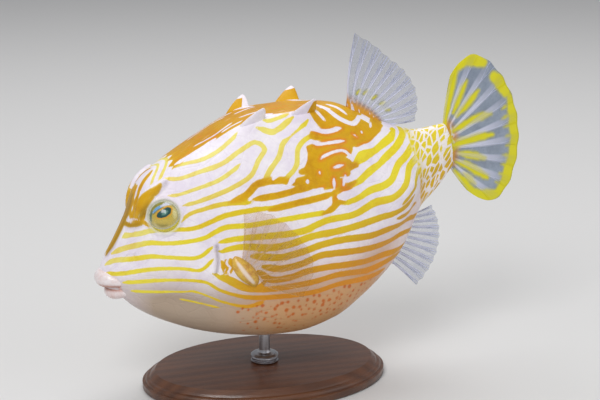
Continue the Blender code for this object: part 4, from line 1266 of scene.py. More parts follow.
@dataclass
class BoxfishSkin:
    """The one skin of head, body and tail stalk, with its brows, eye rims, gill slits and spines."""

    placement: Placement
    head_step: float = 0.45
    body_step: float = 0.63
    columns: int = 300
    cap_rings: int = 7
    front_cap: float = 1.4
    rear_cap: float = 1.0
    brow_front: tuple = (17.6, 6.8, 17.6)
    brow_middle: tuple = (21.4, 8.6, 26.6)
    brow_tip: tuple = (28.6, 11.2, 30.6)
    brow_thickness: float = 2.6
    rim_radius: float = 0.75
    bowl_depth: float = 1.7
    gill_top: tuple = (40.3, 6.8)
    gill_bottom: tuple = (37.9, -4.6)
    gill_bow: float = 0.7
    gill_depth: float = 1.5
    nostrils: tuple = ((11.6, 0.30), (13.6, 0.335))
    spines: tuple = (Spine(66.6, 12.0, 4.0, 0.1), Spine(84.9, 13.0, 5.0, 1.0))
    spine_half_width: float = 1.9
    spine_root: float = 3.0
    spine_rings: int = 26
    spine_sides: int = 24
    pattern_reach: float = 3.0
    spot_top: Knots = ((42.0, 74.0), (58.0, 72.5), (80.0, 73.0), (90.0, 77.0), (100.0, 84.5))
    spot_spacing: float = 2.1
    spot_shift: float = 0.8
    spot_radii: tuple = (0.42, 0.84)
    spot_seed: int = 7

    def stations(self) -> tuple[np.ndarray, np.ndarray]:
        """Where the rings stand.

        Returns:
            The stations, and the share of its size that each ring keeps at the two rounded ends.
        """
        turns = np.radians(np.linspace(84, 12, self.cap_rings))
        head = np.arange(SNOUT_START, HEAD_END, self.head_step)
        body = np.linspace(HEAD_END, STALK_END, int((STALK_END - HEAD_END) / self.body_step))
        places = np.concatenate([SNOUT_START - self.front_cap * np.sin(turns), head, body,
                                 STALK_END + self.rear_cap * np.sin(turns[::-1])])
        kept = np.concatenate([np.cos(turns), np.ones(len(head) + len(body)), np.cos(turns[::-1])])
        return places, kept

    def form(self) -> tuple[np.ndarray, np.ndarray, np.ndarray]:
        """The smooth body.

        Returns:
            The station and the share of each point of its grid, and the points.
        """
        places, kept = self.stations()
        shares = np.linspace(-1, 1, self.columns, endpoint=False)
        a, share = np.meshgrid(places, shares, indexing="ij")
        points = skin(a, share)
        middle = points.mean(1, keepdims=True)
        points = middle + (points - middle) * kept[:, None, None]
        points[..., 0] = a
        return a, share, points

    @staticmethod
    def normals(points: np.ndarray) -> np.ndarray:
        """The outward directions of a grid that is closed round."""
        lengthwise = np.gradient(points, axis=0)
        normals = np.cross(lengthwise, np.roll(points, -1, 1) - np.roll(points, 1, 1))
        return normals / np.maximum(np.linalg.norm(normals, axis=-1, keepdims=True), 1e-9)

    def brow(self, side: Side) -> tuple[np.ndarray, np.ndarray]:
        """The middles and radii of the balls that a brow ridge with its blunt horn is made of."""
        t = np.linspace(0, 1, 40)
        path = arc(np.array(self.brow_front), np.array(self.brow_middle), np.array(self.brow_tip), t)
        radii = self.brow_thickness * (0.42 + 0.58 * np.sin(math.pi * t ** 0.8))
        return path * np.array([1.0, side.value, 1.0]), radii

    def eye_rim(self, side: Side) -> tuple[np.ndarray, np.ndarray]:
        """The middles and radii of the balls that the raised ring of skin round an eye is made of.

        Args:
            side: The eye's side.

        Returns:
            The middles and the radii.
        """
        centre, normal = eye_axis(side)
        turn = np.array(Vector(normal).to_track_quat("Z", "Y").to_matrix())
        angles = np.linspace(0, 2 * math.pi, 120, endpoint=False)
        ring = np.stack([np.cos(angles), np.sin(angles), np.zeros(120)], -1) * (EYE_EDGE + 0.55)
        return centre + normal * (EYE_SINK - 0.1) + ring @ turn.T, np.full(120, self.rim_radius)

    @staticmethod
    def from_eye(points: np.ndarray, side: Side) -> tuple[np.ndarray, np.ndarray]:
        """How far points lie off an eye's axis, and how far in front of its middle.

        Args:
            points: The points.
            side: The eye's side.

        Returns:
            Both distances.
        """
        centre, normal = eye_axis(side)
        reach = points - centre
        ahead = reach @ normal
        return np.linalg.norm(reach - ahead[:, None] * normal, axis=1), ahead

    def gill_run(self, points: np.ndarray) -> tuple[np.ndarray, np.ndarray]:
        """How far points lie behind the gill slit's line, and the share of its depth at their height.

        Args:
            points: The points.

        Returns:
            The distances and the shares.
        """
        (top_a, top_d), (bottom_a, bottom_d) = self.gill_top, self.gill_bottom
        t = (top_d - points[:, 2]) / (top_d - bottom_d)
        bowed = self.gill_bow * np.sin(math.pi * np.clip(t, 0, 1))
        return points[:, 0] - (top_a + (bottom_a - top_a) * t) - bowed, between(t, -0.04, 0.12, 0.88, 1.04)

    def heights(self, share: np.ndarray, points: np.ndarray) -> np.ndarray:
        """How far each point of the grid is moved out, for the raised and sunken forms of the head.

        Args:
            share: The shares of the grid's points.
            points: The points of the smooth body.

        Returns:
            The heights in millimetres, ring by ring.
        """
        flat, out = points.reshape(-1, 3), self.normals(points).reshape(-1, 3)
        share = np.abs(share.reshape(-1))
        rise = np.zeros(len(flat))
        for side in Side:
            rise = np.maximum(rise, ball_rise(flat, out, *self.brow(side)))
            rise = np.maximum(rise, ball_rise(flat, out, *self.eye_rim(side)))
        for side in Side:
            off, ahead = self.from_eye(flat, side)
            rise -= np.where(ahead > 0, smooth_step(off, EYE_EDGE + 0.25, EYE_EDGE - 0.5) * self.bowl_depth, 0)
            for place, around in self.nostrils:
                gap = np.linalg.norm(flat - skin(place, around * side.value), axis=1)
                rise -= 0.8 * smooth_step(gap, 0.8, 0.3) - 0.28 * np.exp(-((gap - 1.0) / 0.35) ** 2)
            rise -= 0.4 * smooth_step(CREASE_MARK.distance(flat, side, 0.3, 2.0), 0.8, -0.3)
            for spine in self.spines:
                foot = skin(spine.tip - 2.5, RIDGE_SHARE * side.value)
                stretched = (flat - foot) * np.array([0.45, 1.0, 1.0])
                rise += 0.7 * np.exp(-(np.linalg.norm(stretched, axis=1) / 2.8) ** 2)
        off, depth = self.gill_run(flat)
        flank = depth * (share > 0.3) * (share < 0.75)
        rise += flank * (0.5 * np.exp(-((np.abs(off) - 1.35) / 0.6) ** 2)
                         - self.gill_depth * np.exp(-(off / 0.55) ** 4))
        return rise.reshape(points.shape[:2])

    def spot_places(self) -> tuple[np.ndarray, np.ndarray]:
        """The belly's spots on one side, from a fixed seed.

        Returns:
            Their places as (a, hundredths), and their radii.
        """
        chance = np.random.default_rng(self.spot_seed)
        places = []
        for row, lift in enumerate(np.arange(0, 26, self.spot_spacing)):
            for a in np.arange(43, 101, self.spot_spacing * 1.1) + (row % 2) * 1.3:
                share = float(along(self.spot_top, a)) - 0.6 + lift
                shift = chance.uniform(-self.spot_shift, self.spot_shift, 2)
                thinned = 0.03 + lift * 0.012 + max(0.0, 54 - a) * 0.05
                if share < 97 and chance.random() > thinned:
                    places.append((a + shift[0], share + shift[1]))
        return np.array(places), chance.uniform(*self.spot_radii, len(places))

    def spot_distance(self, points: np.ndarray) -> np.ndarray:
        """How far points lie from the rim of the nearest spot of the left side.

        Args:
            points: The points.

        Returns:
            The distances, negative inside a spot.
        """
        spots, radii = self.spot_places()
        found = np.full(len(points), self.pattern_reach)
        for centre, radius in zip(skin(spots[:, 0], -spots[:, 1] / 100), radii):
            near = np.abs(points - centre).max(-1) < self.pattern_reach
            found[near] = np.minimum(found[near], np.linalg.norm(points[near] - centre, axis=1) - radius)
        return found

    def nearest(self, marks: tuple[Mark, ...], points: np.ndarray, taper: float = 0.4) -> np.ndarray:
        """How far points lie from the nearest of some marks of the left side."""
        return np.minimum.reduce([mark.distance(points, Side.LEFT, taper, self.pattern_reach) for mark in marks])

    def half_pattern(self, a: np.ndarray, share: np.ndarray, points: np.ndarray) -> dict[str, np.ndarray]:
        """The values that the left half's paint is drawn from.

        Args:
            a: The stations of the half's points.
            share: Their shares.
            points: The points themselves.

        Returns:
            A value of each point for each attribute that the skin's finish reads.
        """
        points = points.reshape(-1, 3)
        a, hundredths = a.reshape(-1), np.abs(share.reshape(-1)) * 100
        patch = between(a, 74, 79, 98, 104) * between(hundredths, 14, 18, 35, 39)
        yellow = self.nearest(YELLOW_MARKS, points) + 0.16 * between(a, 16, 24, 34, 46) \
            - 0.42 * smooth_step(a, 88, 100) * smooth_step(hundredths, 52, 44) \
            - 0.32 * between(a, 42, 52, 98, 112) * smooth_step(hundredths, 43, 49)
        white = self.nearest(WHITE_MARKS, points) - 0.18 * smooth_step(a, 52, 62) + 0.32 * patch
        golden = self.nearest(GOLDEN_MARKS, points) - 0.45 * patch
        start = 32.4 + (9 - hundredths) * 0.2 + 0.9 * np.cos(hundredths * 1.4)
        band = smooth_step(a - start, -0.5, 4) * smooth_step(a, 96, 88) * smooth_step(hundredths, 11.5, 9.0)
        golden = np.minimum(golden, np.maximum(hundredths - 10.0, np.maximum(start - a, a - 88)))
        stalk = smooth_step(a, 117, 124)
        mark = np.maximum(np.minimum(yellow, golden), -white)
        mark = np.minimum(mark, np.where(a > 114, 0.8 - 2.2 * stalk, self.pattern_reach))
        off, depth = self.gill_run(points)
        # Where the gill slit is painted darker, as shade in its groove.
        slit = depth * smooth_step(np.abs(off), 0.75, 0.2) * (hundredths > 30) * (hundredths < 75)
        ring, ahead = self.from_eye(points, Side.LEFT)
        behind_eye = between(hundredths, 24, 30, 36, 42) * between(a, 26, 34, 60, 76)
        flank_low = smooth_step(hundredths, 40, 62) * smooth_step(a, 24, 52) * (1 - 0.6 * stalk)
        # The belly's tan: partly the fish's own tone, partly painted shade of the underside.
        tan = smooth_step(hundredths, 54, 74) * smooth_step(a, 4, 26) * (1 - 0.75 * smooth_step(a, 92, 112))
        return {
            "mark": np.maximum(mark, -self.pattern_reach),
            "gold": np.maximum(smooth_step(golden, 0.8, -0.6), band) * (1 - stalk),
            "edge": smooth_step(np.abs(white - 0.25), 1.0, 0.2) * between(a, 74, 84, 98, 108)
            * smooth_step(golden, 1.2, -0.8) * smooth_step(hundredths, 13, 21),
            "deep": np.clip(flank_low + 0.2 * stalk + 0.35 * behind_eye, 0, 1),
            "pale": smooth_step(hundredths, 35, 27) * smooth_step(a, 84, 70) * 0.7 + smooth_step(a, 34, 24) * 0.15,
            # The belly and the chin carry painted shade of the underside as well as their own tone.
            "belly": tan * 0.95 + 0.45 * smooth_step(hundredths, 44, 58) * smooth_step(a, 40, 14),
            "chin": smooth_step(a, 62, 30),
            "spot": self.spot_distance(points) + 0.6 * smooth_step(hundredths, 74, 92),
            "band": band,
            # Brown tone, partly painted shade under the brow and along the snout.
            "brown": smooth_step(self.nearest(BROWN_SHADE_MARKS, points, 0.5), 1.1, -0.8) * 0.55,
            "socket": smooth_step(ring, EYE_EDGE + 1.1, EYE_EDGE + 0.3) * (ahead > 0),
            # Painted shade in the gill slit.
            "dark": slit * 0.4,
            # Painted shade in the crease behind the mouth.
            "crease": smooth_step(CREASE_MARK.distance(points, Side.LEFT, 0.3, 2.0), 0.7, -0.3) * 0.45,
            "stalk": stalk * 0.9,
        }

    def pattern(self, a: np.ndarray, share: np.ndarray, points: np.ndarray) -> dict[str, np.ndarray]:
        """The paint values of every point of the grid, the same on both sides.

        Args:
            a: The stations of the grid's points.
            share: Their shares.
            points: The points themselves.

        Returns:
            The values by name, ring by ring.
        """
        half = self.columns // 2
        values = {}
        for name, value in self.half_pattern(a[:, :half + 1], share[:, :half + 1], points[:, :half + 1]).items():
            left = value.reshape(len(a), half + 1)
            values[name] = np.concatenate([left, left[:, 1:half][:, ::-1]], 1)
        return values

    def spine_surface(self, side: Side, shape: Spine) -> Surface:
        """A spine: a low slope in front, and a tip that leans out over a steep rear.

        Args:
            side: The side of the fish that it stands on.
            shape: Its place and sizes.

        Returns:
            The spine's surface, in millimetres, with its paint values.
        """
        t = np.linspace(0, 1, self.spine_rings)[:, None]
        turn = np.linspace(0, 2 * math.pi, self.spine_sides, endpoint=False)[None]
        rise = -self.spine_root + (self.spine_root + shape.rise) * t
        foot = shape.tip - shape.length * 0.62
        middle = foot + (shape.tip - foot) * (0.35 + 0.65 * t ** 1.3)
        length = np.maximum(0.16, shape.length / 2 * (1 - t) ** 0.62)
        width = np.maximum(0.16, self.spine_half_width * (1 - t) ** 0.62)
        a = middle + length * np.cos(turn)
        y = side.value * (along(RIDGE_HALF, middle) + 0.75 * rise + width * np.sin(turn))
        d = along(RIDGE_HEIGHT, middle) + rise + 0 * turn
        points, faces = capped_tube(np.stack([a, y, d], -1))
        outer, rear = (tube_values(wave(turn) * np.ones_like(t)) for wave in (np.sin, np.cos))
        high = tube_values(t * np.ones_like(turn), last=1)
        pale = np.maximum(smooth_step(outer, -0.3, 0.2), smooth_step(rear, 0.05, 0.4) * (1 - shape.golden_share))
        pale = np.maximum(pale * (1 - shape.golden_share * smooth_step(rear, 0.1, 0.5)),
                          smooth_step(high, 0.8, 0.95))
        full = np.ones(len(points))
        lie = np.stack([points[:, 0], full * 11, full * 0], -1) * MM
        return Surface(points, faces, {"mark": pale * 2.4 - 1.2, "gold": full, "spot": full * 3, "lie": lie,
                                       "deep": full * 0.4, "band": full * 0.25})

    def build(self) -> Surface:
        """The whole skin, with its paint values.

        Returns:
            Its surface in metres.
        """
        a, share, smooth = self.form()
        points = smooth + self.normals(smooth) * softened(self.heights(share, smooth))[..., None]
        lie = np.stack([a, np.abs(share) * 100, 0 * a], -1) * MM
        values = {name: tube_values(value, value[0].mean(), value[-1].mean())
                  for name, value in self.pattern(a, share, smooth).items()}
        values["lie"] = np.vstack([lie.reshape(-1, 3), lie[0].mean(0), lie[-1].mean(0)])
        spines = [self.spine_surface(side, shape) for side in Side for shape in self.spines]
        whole = Surface(*capped_tube(points), values).joined(spines)
        whole.points = self.placement.carry(swung(whole.points))
        return whole

    def dress(self) -> list[bpy.types.Object]:
        """Builds the skin's one piece."""
        obj = self.build().made("skin", SkinFinish().make())
        return [placed(obj, Slot.HIDE, "head", "trunk", "tail_stalk")]


@dataclass
class Eyes:
    """The two eyes: glossy balls whose iris is painted in rings and strokes round a teal pupil, with painted
    highlights and shade.
    """

    placement: Placement
    front_rings: int = 90
    back_rings: int = 24
    columns: int = 168
    front_angle: float = math.radians(60)
    pupil: Knots = ((-1.3, 0.7), (-1.0, 1.1), (0.6, 1.8), (2.1, 2.1), (2.6, 1.8), (2.3, 1.0), (1.0, 0.4),
                    (-0.5, 0.4))
    pupil_round: float = 0.66

    @staticmethod
    def outline_distance(places: np.ndarray, corners: Knots) -> np.ndarray:
        """How far points of the plane lie outside a rounded outline, negative inside it.

        Args:
            places: The points.
            corners: The outline's corners.

        Returns:
            The distances.
        """
        closed = np.vstack([corners, corners[:1]]).astype(float)
        gap = np.full(len(places), 99.0)
        inside = np.zeros(len(places), bool)
        for start, end in zip(closed, closed[1:]):
            run = end - start
            t = np.clip((places - start) @ run / (run @ run), 0, 1)
            gap = np.minimum(gap, np.linalg.norm(places - start - t[:, None] * run, axis=1))
            crossing = (start[1] > places[:, 1]) != (end[1] > places[:, 1])
            rise = np.where(abs(end[1] - start[1]) < 1e-9, 1e-9, end[1] - start[1])
            inside ^= crossing & (places[:, 0] < (end[0] - start[0]) * (places[:, 1] - start[1]) / rise + start[0])
        return np.where(inside, -gap, gap)

    def painted(self, x: np.ndarray, y: np.ndarray, front: np.ndarray) -> np.ndarray:
        """The iris's colours, with painted highlights and painted shade, at places in millimetres from its middle,
        x towards the tail and y up.

        Args:
            x: How far the places lie towards the tail.
            y: How far up they lie.
            front: Whether they are on the front half of the ball.

        Returns:
            The colours.
        """
        places = np.stack([x, y], -1)
        radius = np.hypot(x, y)
        colour = np.tile(np.array(srgb(214, 188, 74)), (len(x), 1))

        def lay(tone: tuple, share: np.ndarray) -> None:
            """Lays a tone over the colours by a share."""
            colour[:] = colour + (np.array(tone) - colour) * np.clip(share, 0, 1)[:, None]

        def stroke(tone: tuple, half: float, soft: float, strength: float, *knots: tuple) -> None:
            """Lays a stroke of a tone along knots."""
            path = smooth_path(np.array(knots, float), 0.3)
            gap = path_distance(places, path, half, 0.5, 6.0)
            lay(tone, smooth_step(gap, soft, -soft) * strength)

        lay(srgb(200, 188, 124), smooth_step(radius, 3.0, 4.6) * 0.6)
        stroke(srgb(230, 220, 150), 0.7, 0.5, 0.9, (3.6, -1.2), (4.0, 0.6), (3.6, 1.8))
        stroke(srgb(146, 134, 52), 0.6, 0.7, 0.8, (-2.6, -2.0), (-1.4, -2.9), (0.6, -3.1))
        stroke(srgb(212, 202, 150), 0.5, 0.5, 0.7, (-3.6, -1.6), (-2.6, -3.2), (-0.6, -4.0), (2.0, -3.8))
        stroke(srgb(150, 148, 52), 0.8, 0.5, 0.95, (-3.8, 2.9), (-2.0, 4.2), (0.4, 4.7), (2.6, 4.5))
        stroke(srgb(44, 112, 104), 0.5, 0.4, 0.9, (-4.6, -0.4), (-4.3, 1.2), (-3.4, 2.6))
        stroke(srgb(40, 84, 84), 0.3, 0.3, 0.8, (-3.1, 1.7), (-1.3, 2.7), (1.0, 3.1))
        # Painted highlight: a streak of reflected light across the top of the iris, blue and then white.
        stroke(srgb(122, 184, 238), 0.44, 0.25, 1.0, (-3.1, 2.2), (-1.4, 3.2), (0.9, 3.7))
        stroke(srgb(226, 230, 250), 0.55, 0.3, 1.0, (0.2, 3.6), (2.2, 3.9), (3.9, 3.5))
        pupil = self.outline_distance(places, self.pupil) - self.pupil_round
        lay(srgb(232, 174, 52), smooth_step(pupil, 0.62, 0.36))
        lay(srgb(6, 78, 78), smooth_step(pupil, 0.12, -0.1))
        # Painted reflection: a lighter teal glint in the pupil.
        stroke(srgb(120, 176, 156), 0.4, 0.5, 0.8, (0.2, 0.8), (1.0, 0.9), (1.8, 1.4))
        lay(srgb(150, 156, 118), smooth_step(radius, 4.5, 4.8) * 0.6)
        lay(srgb(224, 224, 204), smooth_step(radius, 4.85, 5.15) * 0.95)
        lid = np.hypot(x / 5.6, (y - 0.8) / 4.8)
        lay(srgb(206, 202, 176), smooth_step(lid, 0.94, 1.0) * (y < 0))
        lay(srgb(232, 214, 58), smooth_step(lid, 1.03, 1.07) * (y < 0))
        # Painted shade where the ball sinks into its socket, and on its hidden back.
        lay(srgb(90, 88, 80), smooth_step(radius, 5.9, 6.3) + ~front)
        return colour

    def ball(self, side: Side) -> Surface:
        """One eye, with the places and colours of its iris.

        Args:
            side: The side of the head that it is on.

        Returns:
            The eye's surface.
        """
        centre, normal = eye_axis(side)
        across = np.array([1.0, 0, 0]) - normal * normal[0]
        across /= np.linalg.norm(across)
        up = np.array([0, 0, 1.0]) - normal * normal[2] - across * across[2]
        up /= np.linalg.norm(up)
        tilt = np.concatenate([np.linspace(0.004, self.front_angle, self.front_rings),
                               np.linspace(self.front_angle, math.pi - 0.03, self.back_rings)[1:]])[:, None]
        turn = np.linspace(0, 2 * math.pi, self.columns, endpoint=False)[None]
        x, y = np.sin(tilt) * np.cos(turn) * EYE_RADIUS, np.sin(tilt) * np.sin(turn) * EYE_RADIUS
        swell = 1 + 0.012 * smooth_step(np.hypot(x, y), 3.2, 2.2) * (np.cos(tilt) > 0)
        out = np.cos(tilt) * EYE_RADIUS + 0 * turn
        rings = (x[..., None] * across + y[..., None] * up + out[..., None] * normal) * swell[..., None]
        points, faces = capped_tube(rings + centre)
        x, y = tube_values(x), tube_values(y)
        front = np.append((out > 0).ravel(), [True, False])
        lie = np.stack([np.arctan2(y, x), np.hypot(x, y), 0 * x], -1)
        return Surface(self.placement.carry(points), faces, {"paint": self.painted(x, y, front), "lie": lie})

    def dress(self) -> list[bpy.types.Object]:
        """Builds both eyes."""
        finish = EyeFinish().make()
        return [placed(self.ball(side).made(f"{name}_ball", finish), Slot.EYE, name)
                for side, name in ((Side.LEFT, "eye_left"), (Side.RIGHT, "eye_right"))]


@dataclass(frozen=True)
class Lip:
    """One lip: where its roll runs at the front and at the corners of the mouth, and how thick it is there."""

    name: str
    front: tuple[float, float]
    corner: tuple[float, float, float]
    thickness: float
    corner_thickness: float
    meets_below: bool


@dataclass
class Mouth:
    """Two soft, rounded lips that stand out from the snout."""

    placement: Placement
    upper: Lip = Lip("upper_lip", (3.1, -0.7), (8.4, 5.6, -2.6), 3.3, 1.9, True)
    lower: Lip = Lip("lower_lip", (5.0, -6.2), (9.6, 5.2, -6.2), 2.9, 2.0, False)
    steps: int = 120
    sides: int = 48

    def roll(self, lip: Lip) -> Surface:
        """A lip's roll, with the share of the line of painted shade where it meets the other lip.

        Args:
            lip: The lip.

        Returns:
            The roll's surface.
        """
        turn = math.pi * (np.linspace(0, 1, self.steps) - 0.5)
        corner = np.array(lip.corner)
        path = np.stack([corner[0] + (lip.front[0] - corner[0]) * np.cos(turn), corner[1] * np.sin(turn),
                         corner[2] + (lip.front[1] - corner[2]) * np.cos(turn)], -1)
        radius = lip.thickness + (lip.corner_thickness - lip.thickness) * np.sin(turn) ** 2
        radius *= np.where(np.abs(turn) > 1.45, np.sqrt(np.clip((math.pi / 2 - np.abs(turn)) / 0.12, 0.02, 1)), 1)
        ahead = np.gradient(path, axis=0)
        out = np.cross(ahead, np.array([0, 0, 1.0]))
        out /= np.linalg.norm(out, axis=1, keepdims=True)
        up = np.cross(out, ahead)
        up /= np.linalg.norm(up, axis=1, keepdims=True)
        around = np.linspace(0, 2 * math.pi, self.sides, endpoint=False)[None, :, None]
        furrow = 1 - 0.012 * np.cos(np.linspace(0, 44 * math.pi, self.steps))[:, None, None]
        rings = path[:, None] + (out[:, None] * np.cos(around) + up[:, None] * np.sin(around)) \
            * radius[:, None, None] * furrow
        points, faces = capped_tube(rings)
        down = np.sin(around[..., 0]) * (-1 if lip.meets_below else 1) + 0 * turn[:, None]
        # Painted shade on the side that faces the other lip.
        line = smooth_step(down, 0.15, 0.75)
        span = np.append(np.repeat(turn, self.sides), [turn[0], turn[-1]]) * lip.corner[1]
        lie = np.stack([span, tube_values(down), 0 * span], -1) * MM
        return Surface(self.placement.carry(points), faces, {"line": tube_values(line), "lie": lie})

    def dress(self) -> list[bpy.types.Object]:
        """Builds both lips."""
        finish = LipFinish().make()
        return [placed(self.roll(lip).made(f"{lip.name}_roll", finish), Slot.LIPS, lip.name)
                for lip in (self.upper, self.lower)]


@dataclass(frozen=True)
class Fan:
    """A fin's plan: a fan of rays from a root line to a margin, which lies at a radius round the hub."""

    node: str
    rays: int
    angles: tuple[float, float]
    radii: Knots
    root: Knots
    hub: tuple[float, float] = (0.0, 0.0)
    flesh: float = 0.3
    flesh_share: float = 0.25
    bow: float = 0.0
    stem_radius: float = 0.34
    tip_radius: float = 0.09
    branch_places: tuple[float, float] = (0.38, 0.66)
    front_ray: float = 1.0

    def margin(self, v: np.ndarray) -> np.ndarray:
        """How far the margin lies from the hub, a little further at each ray."""
        crest = 0.5 + 0.5 * np.cos(2 * math.pi * v * (self.rays - 1))
        return along(self.radii, v) + 0.5 * (crest - 0.5)

    def direction(self, v: np.ndarray) -> np.ndarray:
        """The directions of rays, in the plane of the fish's length and height."""
        angle = np.radians(self.angles[0] + (self.angles[1] - self.angles[0]) * v)
        return np.stack([np.cos(angle), np.sin(angle)], -1)

    def root_at(self, v: np.ndarray) -> np.ndarray:
        """Points of the root line."""
        start, end = np.array(self.root[0]), np.array(self.root[1])
        return start + (end - start) * v[..., None]

    def place(self, v: np.ndarray, w: np.ndarray) -> np.ndarray:
        """Points of the fin's middle sheet on the straight fish, v from its first ray and w from its root.

        Args:
            v: The shares from the first ray to the last.
            w: The shares from the root to the margin.

        Returns:
            The points.
        """
        tip = np.array(self.hub) + self.direction(v) * self.margin(v)[..., None]
        root = self.root_at(v)
        ray = (tip - root) / np.linalg.norm(tip - root, axis=-1, keepdims=True)
        root = root - ray * 3.0
        across = np.stack([-ray[..., 1], ray[..., 0]], -1)
        curve = across * (self.bow * (1 - 2 * v) * np.sin(math.pi * w))[..., None]
        flat = root + (tip - root) * w[..., None] + curve
        return np.stack([flat[..., 0], 0 * v, flat[..., 1]], -1)

    def sheet(self, v: np.ndarray, w: np.ndarray, out: np.ndarray) -> np.ndarray:
        """Points that lie out millimetres to the right of the middle sheet, on the swung fish."""
        middle = self.place(v, w)
        side = swung(middle + np.array([0, 1.0, 0])) - swung(middle)
        return swung(middle) + side * out[..., None]


@dataclass(frozen=True)
class SideFan(Fan):
    """A side fin's plan: it fans out from the flank and stands off it."""

    side: Side = Side.LEFT
    start_lift: float = 0.7
    end_lift: float = 4.6
    belly: float = 1.0

    def place(self, v: np.ndarray, w: np.ndarray) -> np.ndarray:
        """Points of the fin's middle sheet on the straight fish.

        Args:
            v: The shares from the first ray to the last.
            w: The shares from the root to the margin.

        Returns:
            The points.
        """
        v = v[:, :1] if v.ndim == 2 else v
        root = self.root_at(v)
        tip = root + self.direction(v) * self.margin(v)[..., None]
        start = skin_reach(root[..., 0], root[..., 1]) + self.start_lift
        end = skin_reach(tip[..., 0], tip[..., 1]) + self.end_lift
        out = start + (end - start) * w + self.belly * np.sin(math.pi * w)
        flat = root + (tip - root) * w[..., None]
        return np.stack([flat[..., 0], self.side.value * out, flat[..., 1]], -1)


DORSAL = Fan("dorsal_fin", 11, (81.5, -14.0), ((0, 31.2), (0.12, 28.2), (0.35, 24.8), (0.7, 24.6), (1, 22.4)),
             ((101.0, 37.2), (112.4, 28.6)), (103.0, 31.0), flesh=2.2, flesh_share=0.3, bow=1.2)
ANAL = Fan("anal_fin", 11, (-71.0, 16.0), ((0, 24.6), (0.15, 23.4), (0.5, 21.6), (1, 19.4)),
           ((104.6, -21.4), (117.2, -8.4)), (107.6, -13.0), flesh=1.5, flesh_share=0.28, bow=0.5,
           front_ray=2.0)
TAIL = Fan("tail_fin", 11, (68.5, -63.0),
           ((0, 26.5), (0.045, 32.6), (0.09, 36.0), (0.16, 37.4), (0.5, 37.0), (0.8, 36.6), (0.88, 35.4),
            (0.936, 32.6), (0.97, 28.0), (1, 22.0)),
           ((136.2, 20.6), (136.2, 6.2)), (132.0, 13.4), flesh=1.6, flesh_share=0.22, bow=0.6,
           branch_places=(0.45, 0.7))
SIDE = {side: SideFan(f"side_fin_{side.name.lower()}", 10, (80.0, -30.0),
                      ((0, 16.5), (0.2, 19.5), (0.6, 19.5), (1, 14.0)), ((47.6, 0.0), (52.8, -11.0)),
                      stem_radius=0.24, tip_radius=0.07, side=side) for side in Side}

# The tail fin's yellow rim and streaks: half a width in millimetres, and (v, w) in hundredths.
TAIL_MARKS = (
    (2.5, ((0, 16), (0, 41), (1, 72), (1, 99), (5, 98))),
    (4.2, ((4, 97), (11, 95), (17, 95))),
    (4.4, ((26, 92), (32, 94), (37, 95))),
    (3.3, ((40, 96), (53, 97), (66, 97), (75, 96), (83, 96), (89, 95))),
    (3.6, ((97, 86), (92, 91), (87, 95))),
    (2.5, ((99, 37), (99, 64), (99, 87), (96, 96))),
    (1.4, ((14, 31), (13, 51), (13, 69))),
    (1.5, ((21, 31), (23, 47), (24, 69))),
    (1.5, ((31, 18), (35, 31), (38, 48), (42, 68))),
    (1.6, ((62, 10), (55, 22), (54, 39), (55, 66))),
    (1.5, ((69, 23), (70, 37), (71, 57))),
    (1.6, ((84, 21), (81, 35), (82, 53), (83, 70))),
    (1.2, ((90, 37), (91, 61))),
    (1.6, ((22, 10), (50, 12), (78, 10))),
) + tuple((0.55, ((v, 80 + (v % 4)), (v, 92))) for v in range(43, 86, 5))
DORSAL_MARKS = tuple((0.7, ((v - 1.2, w - 3), (v + 1.2, w + 3)))
                     for v, w in ((17, 34), (28, 40), (43, 40), (59, 41), (73, 42)))


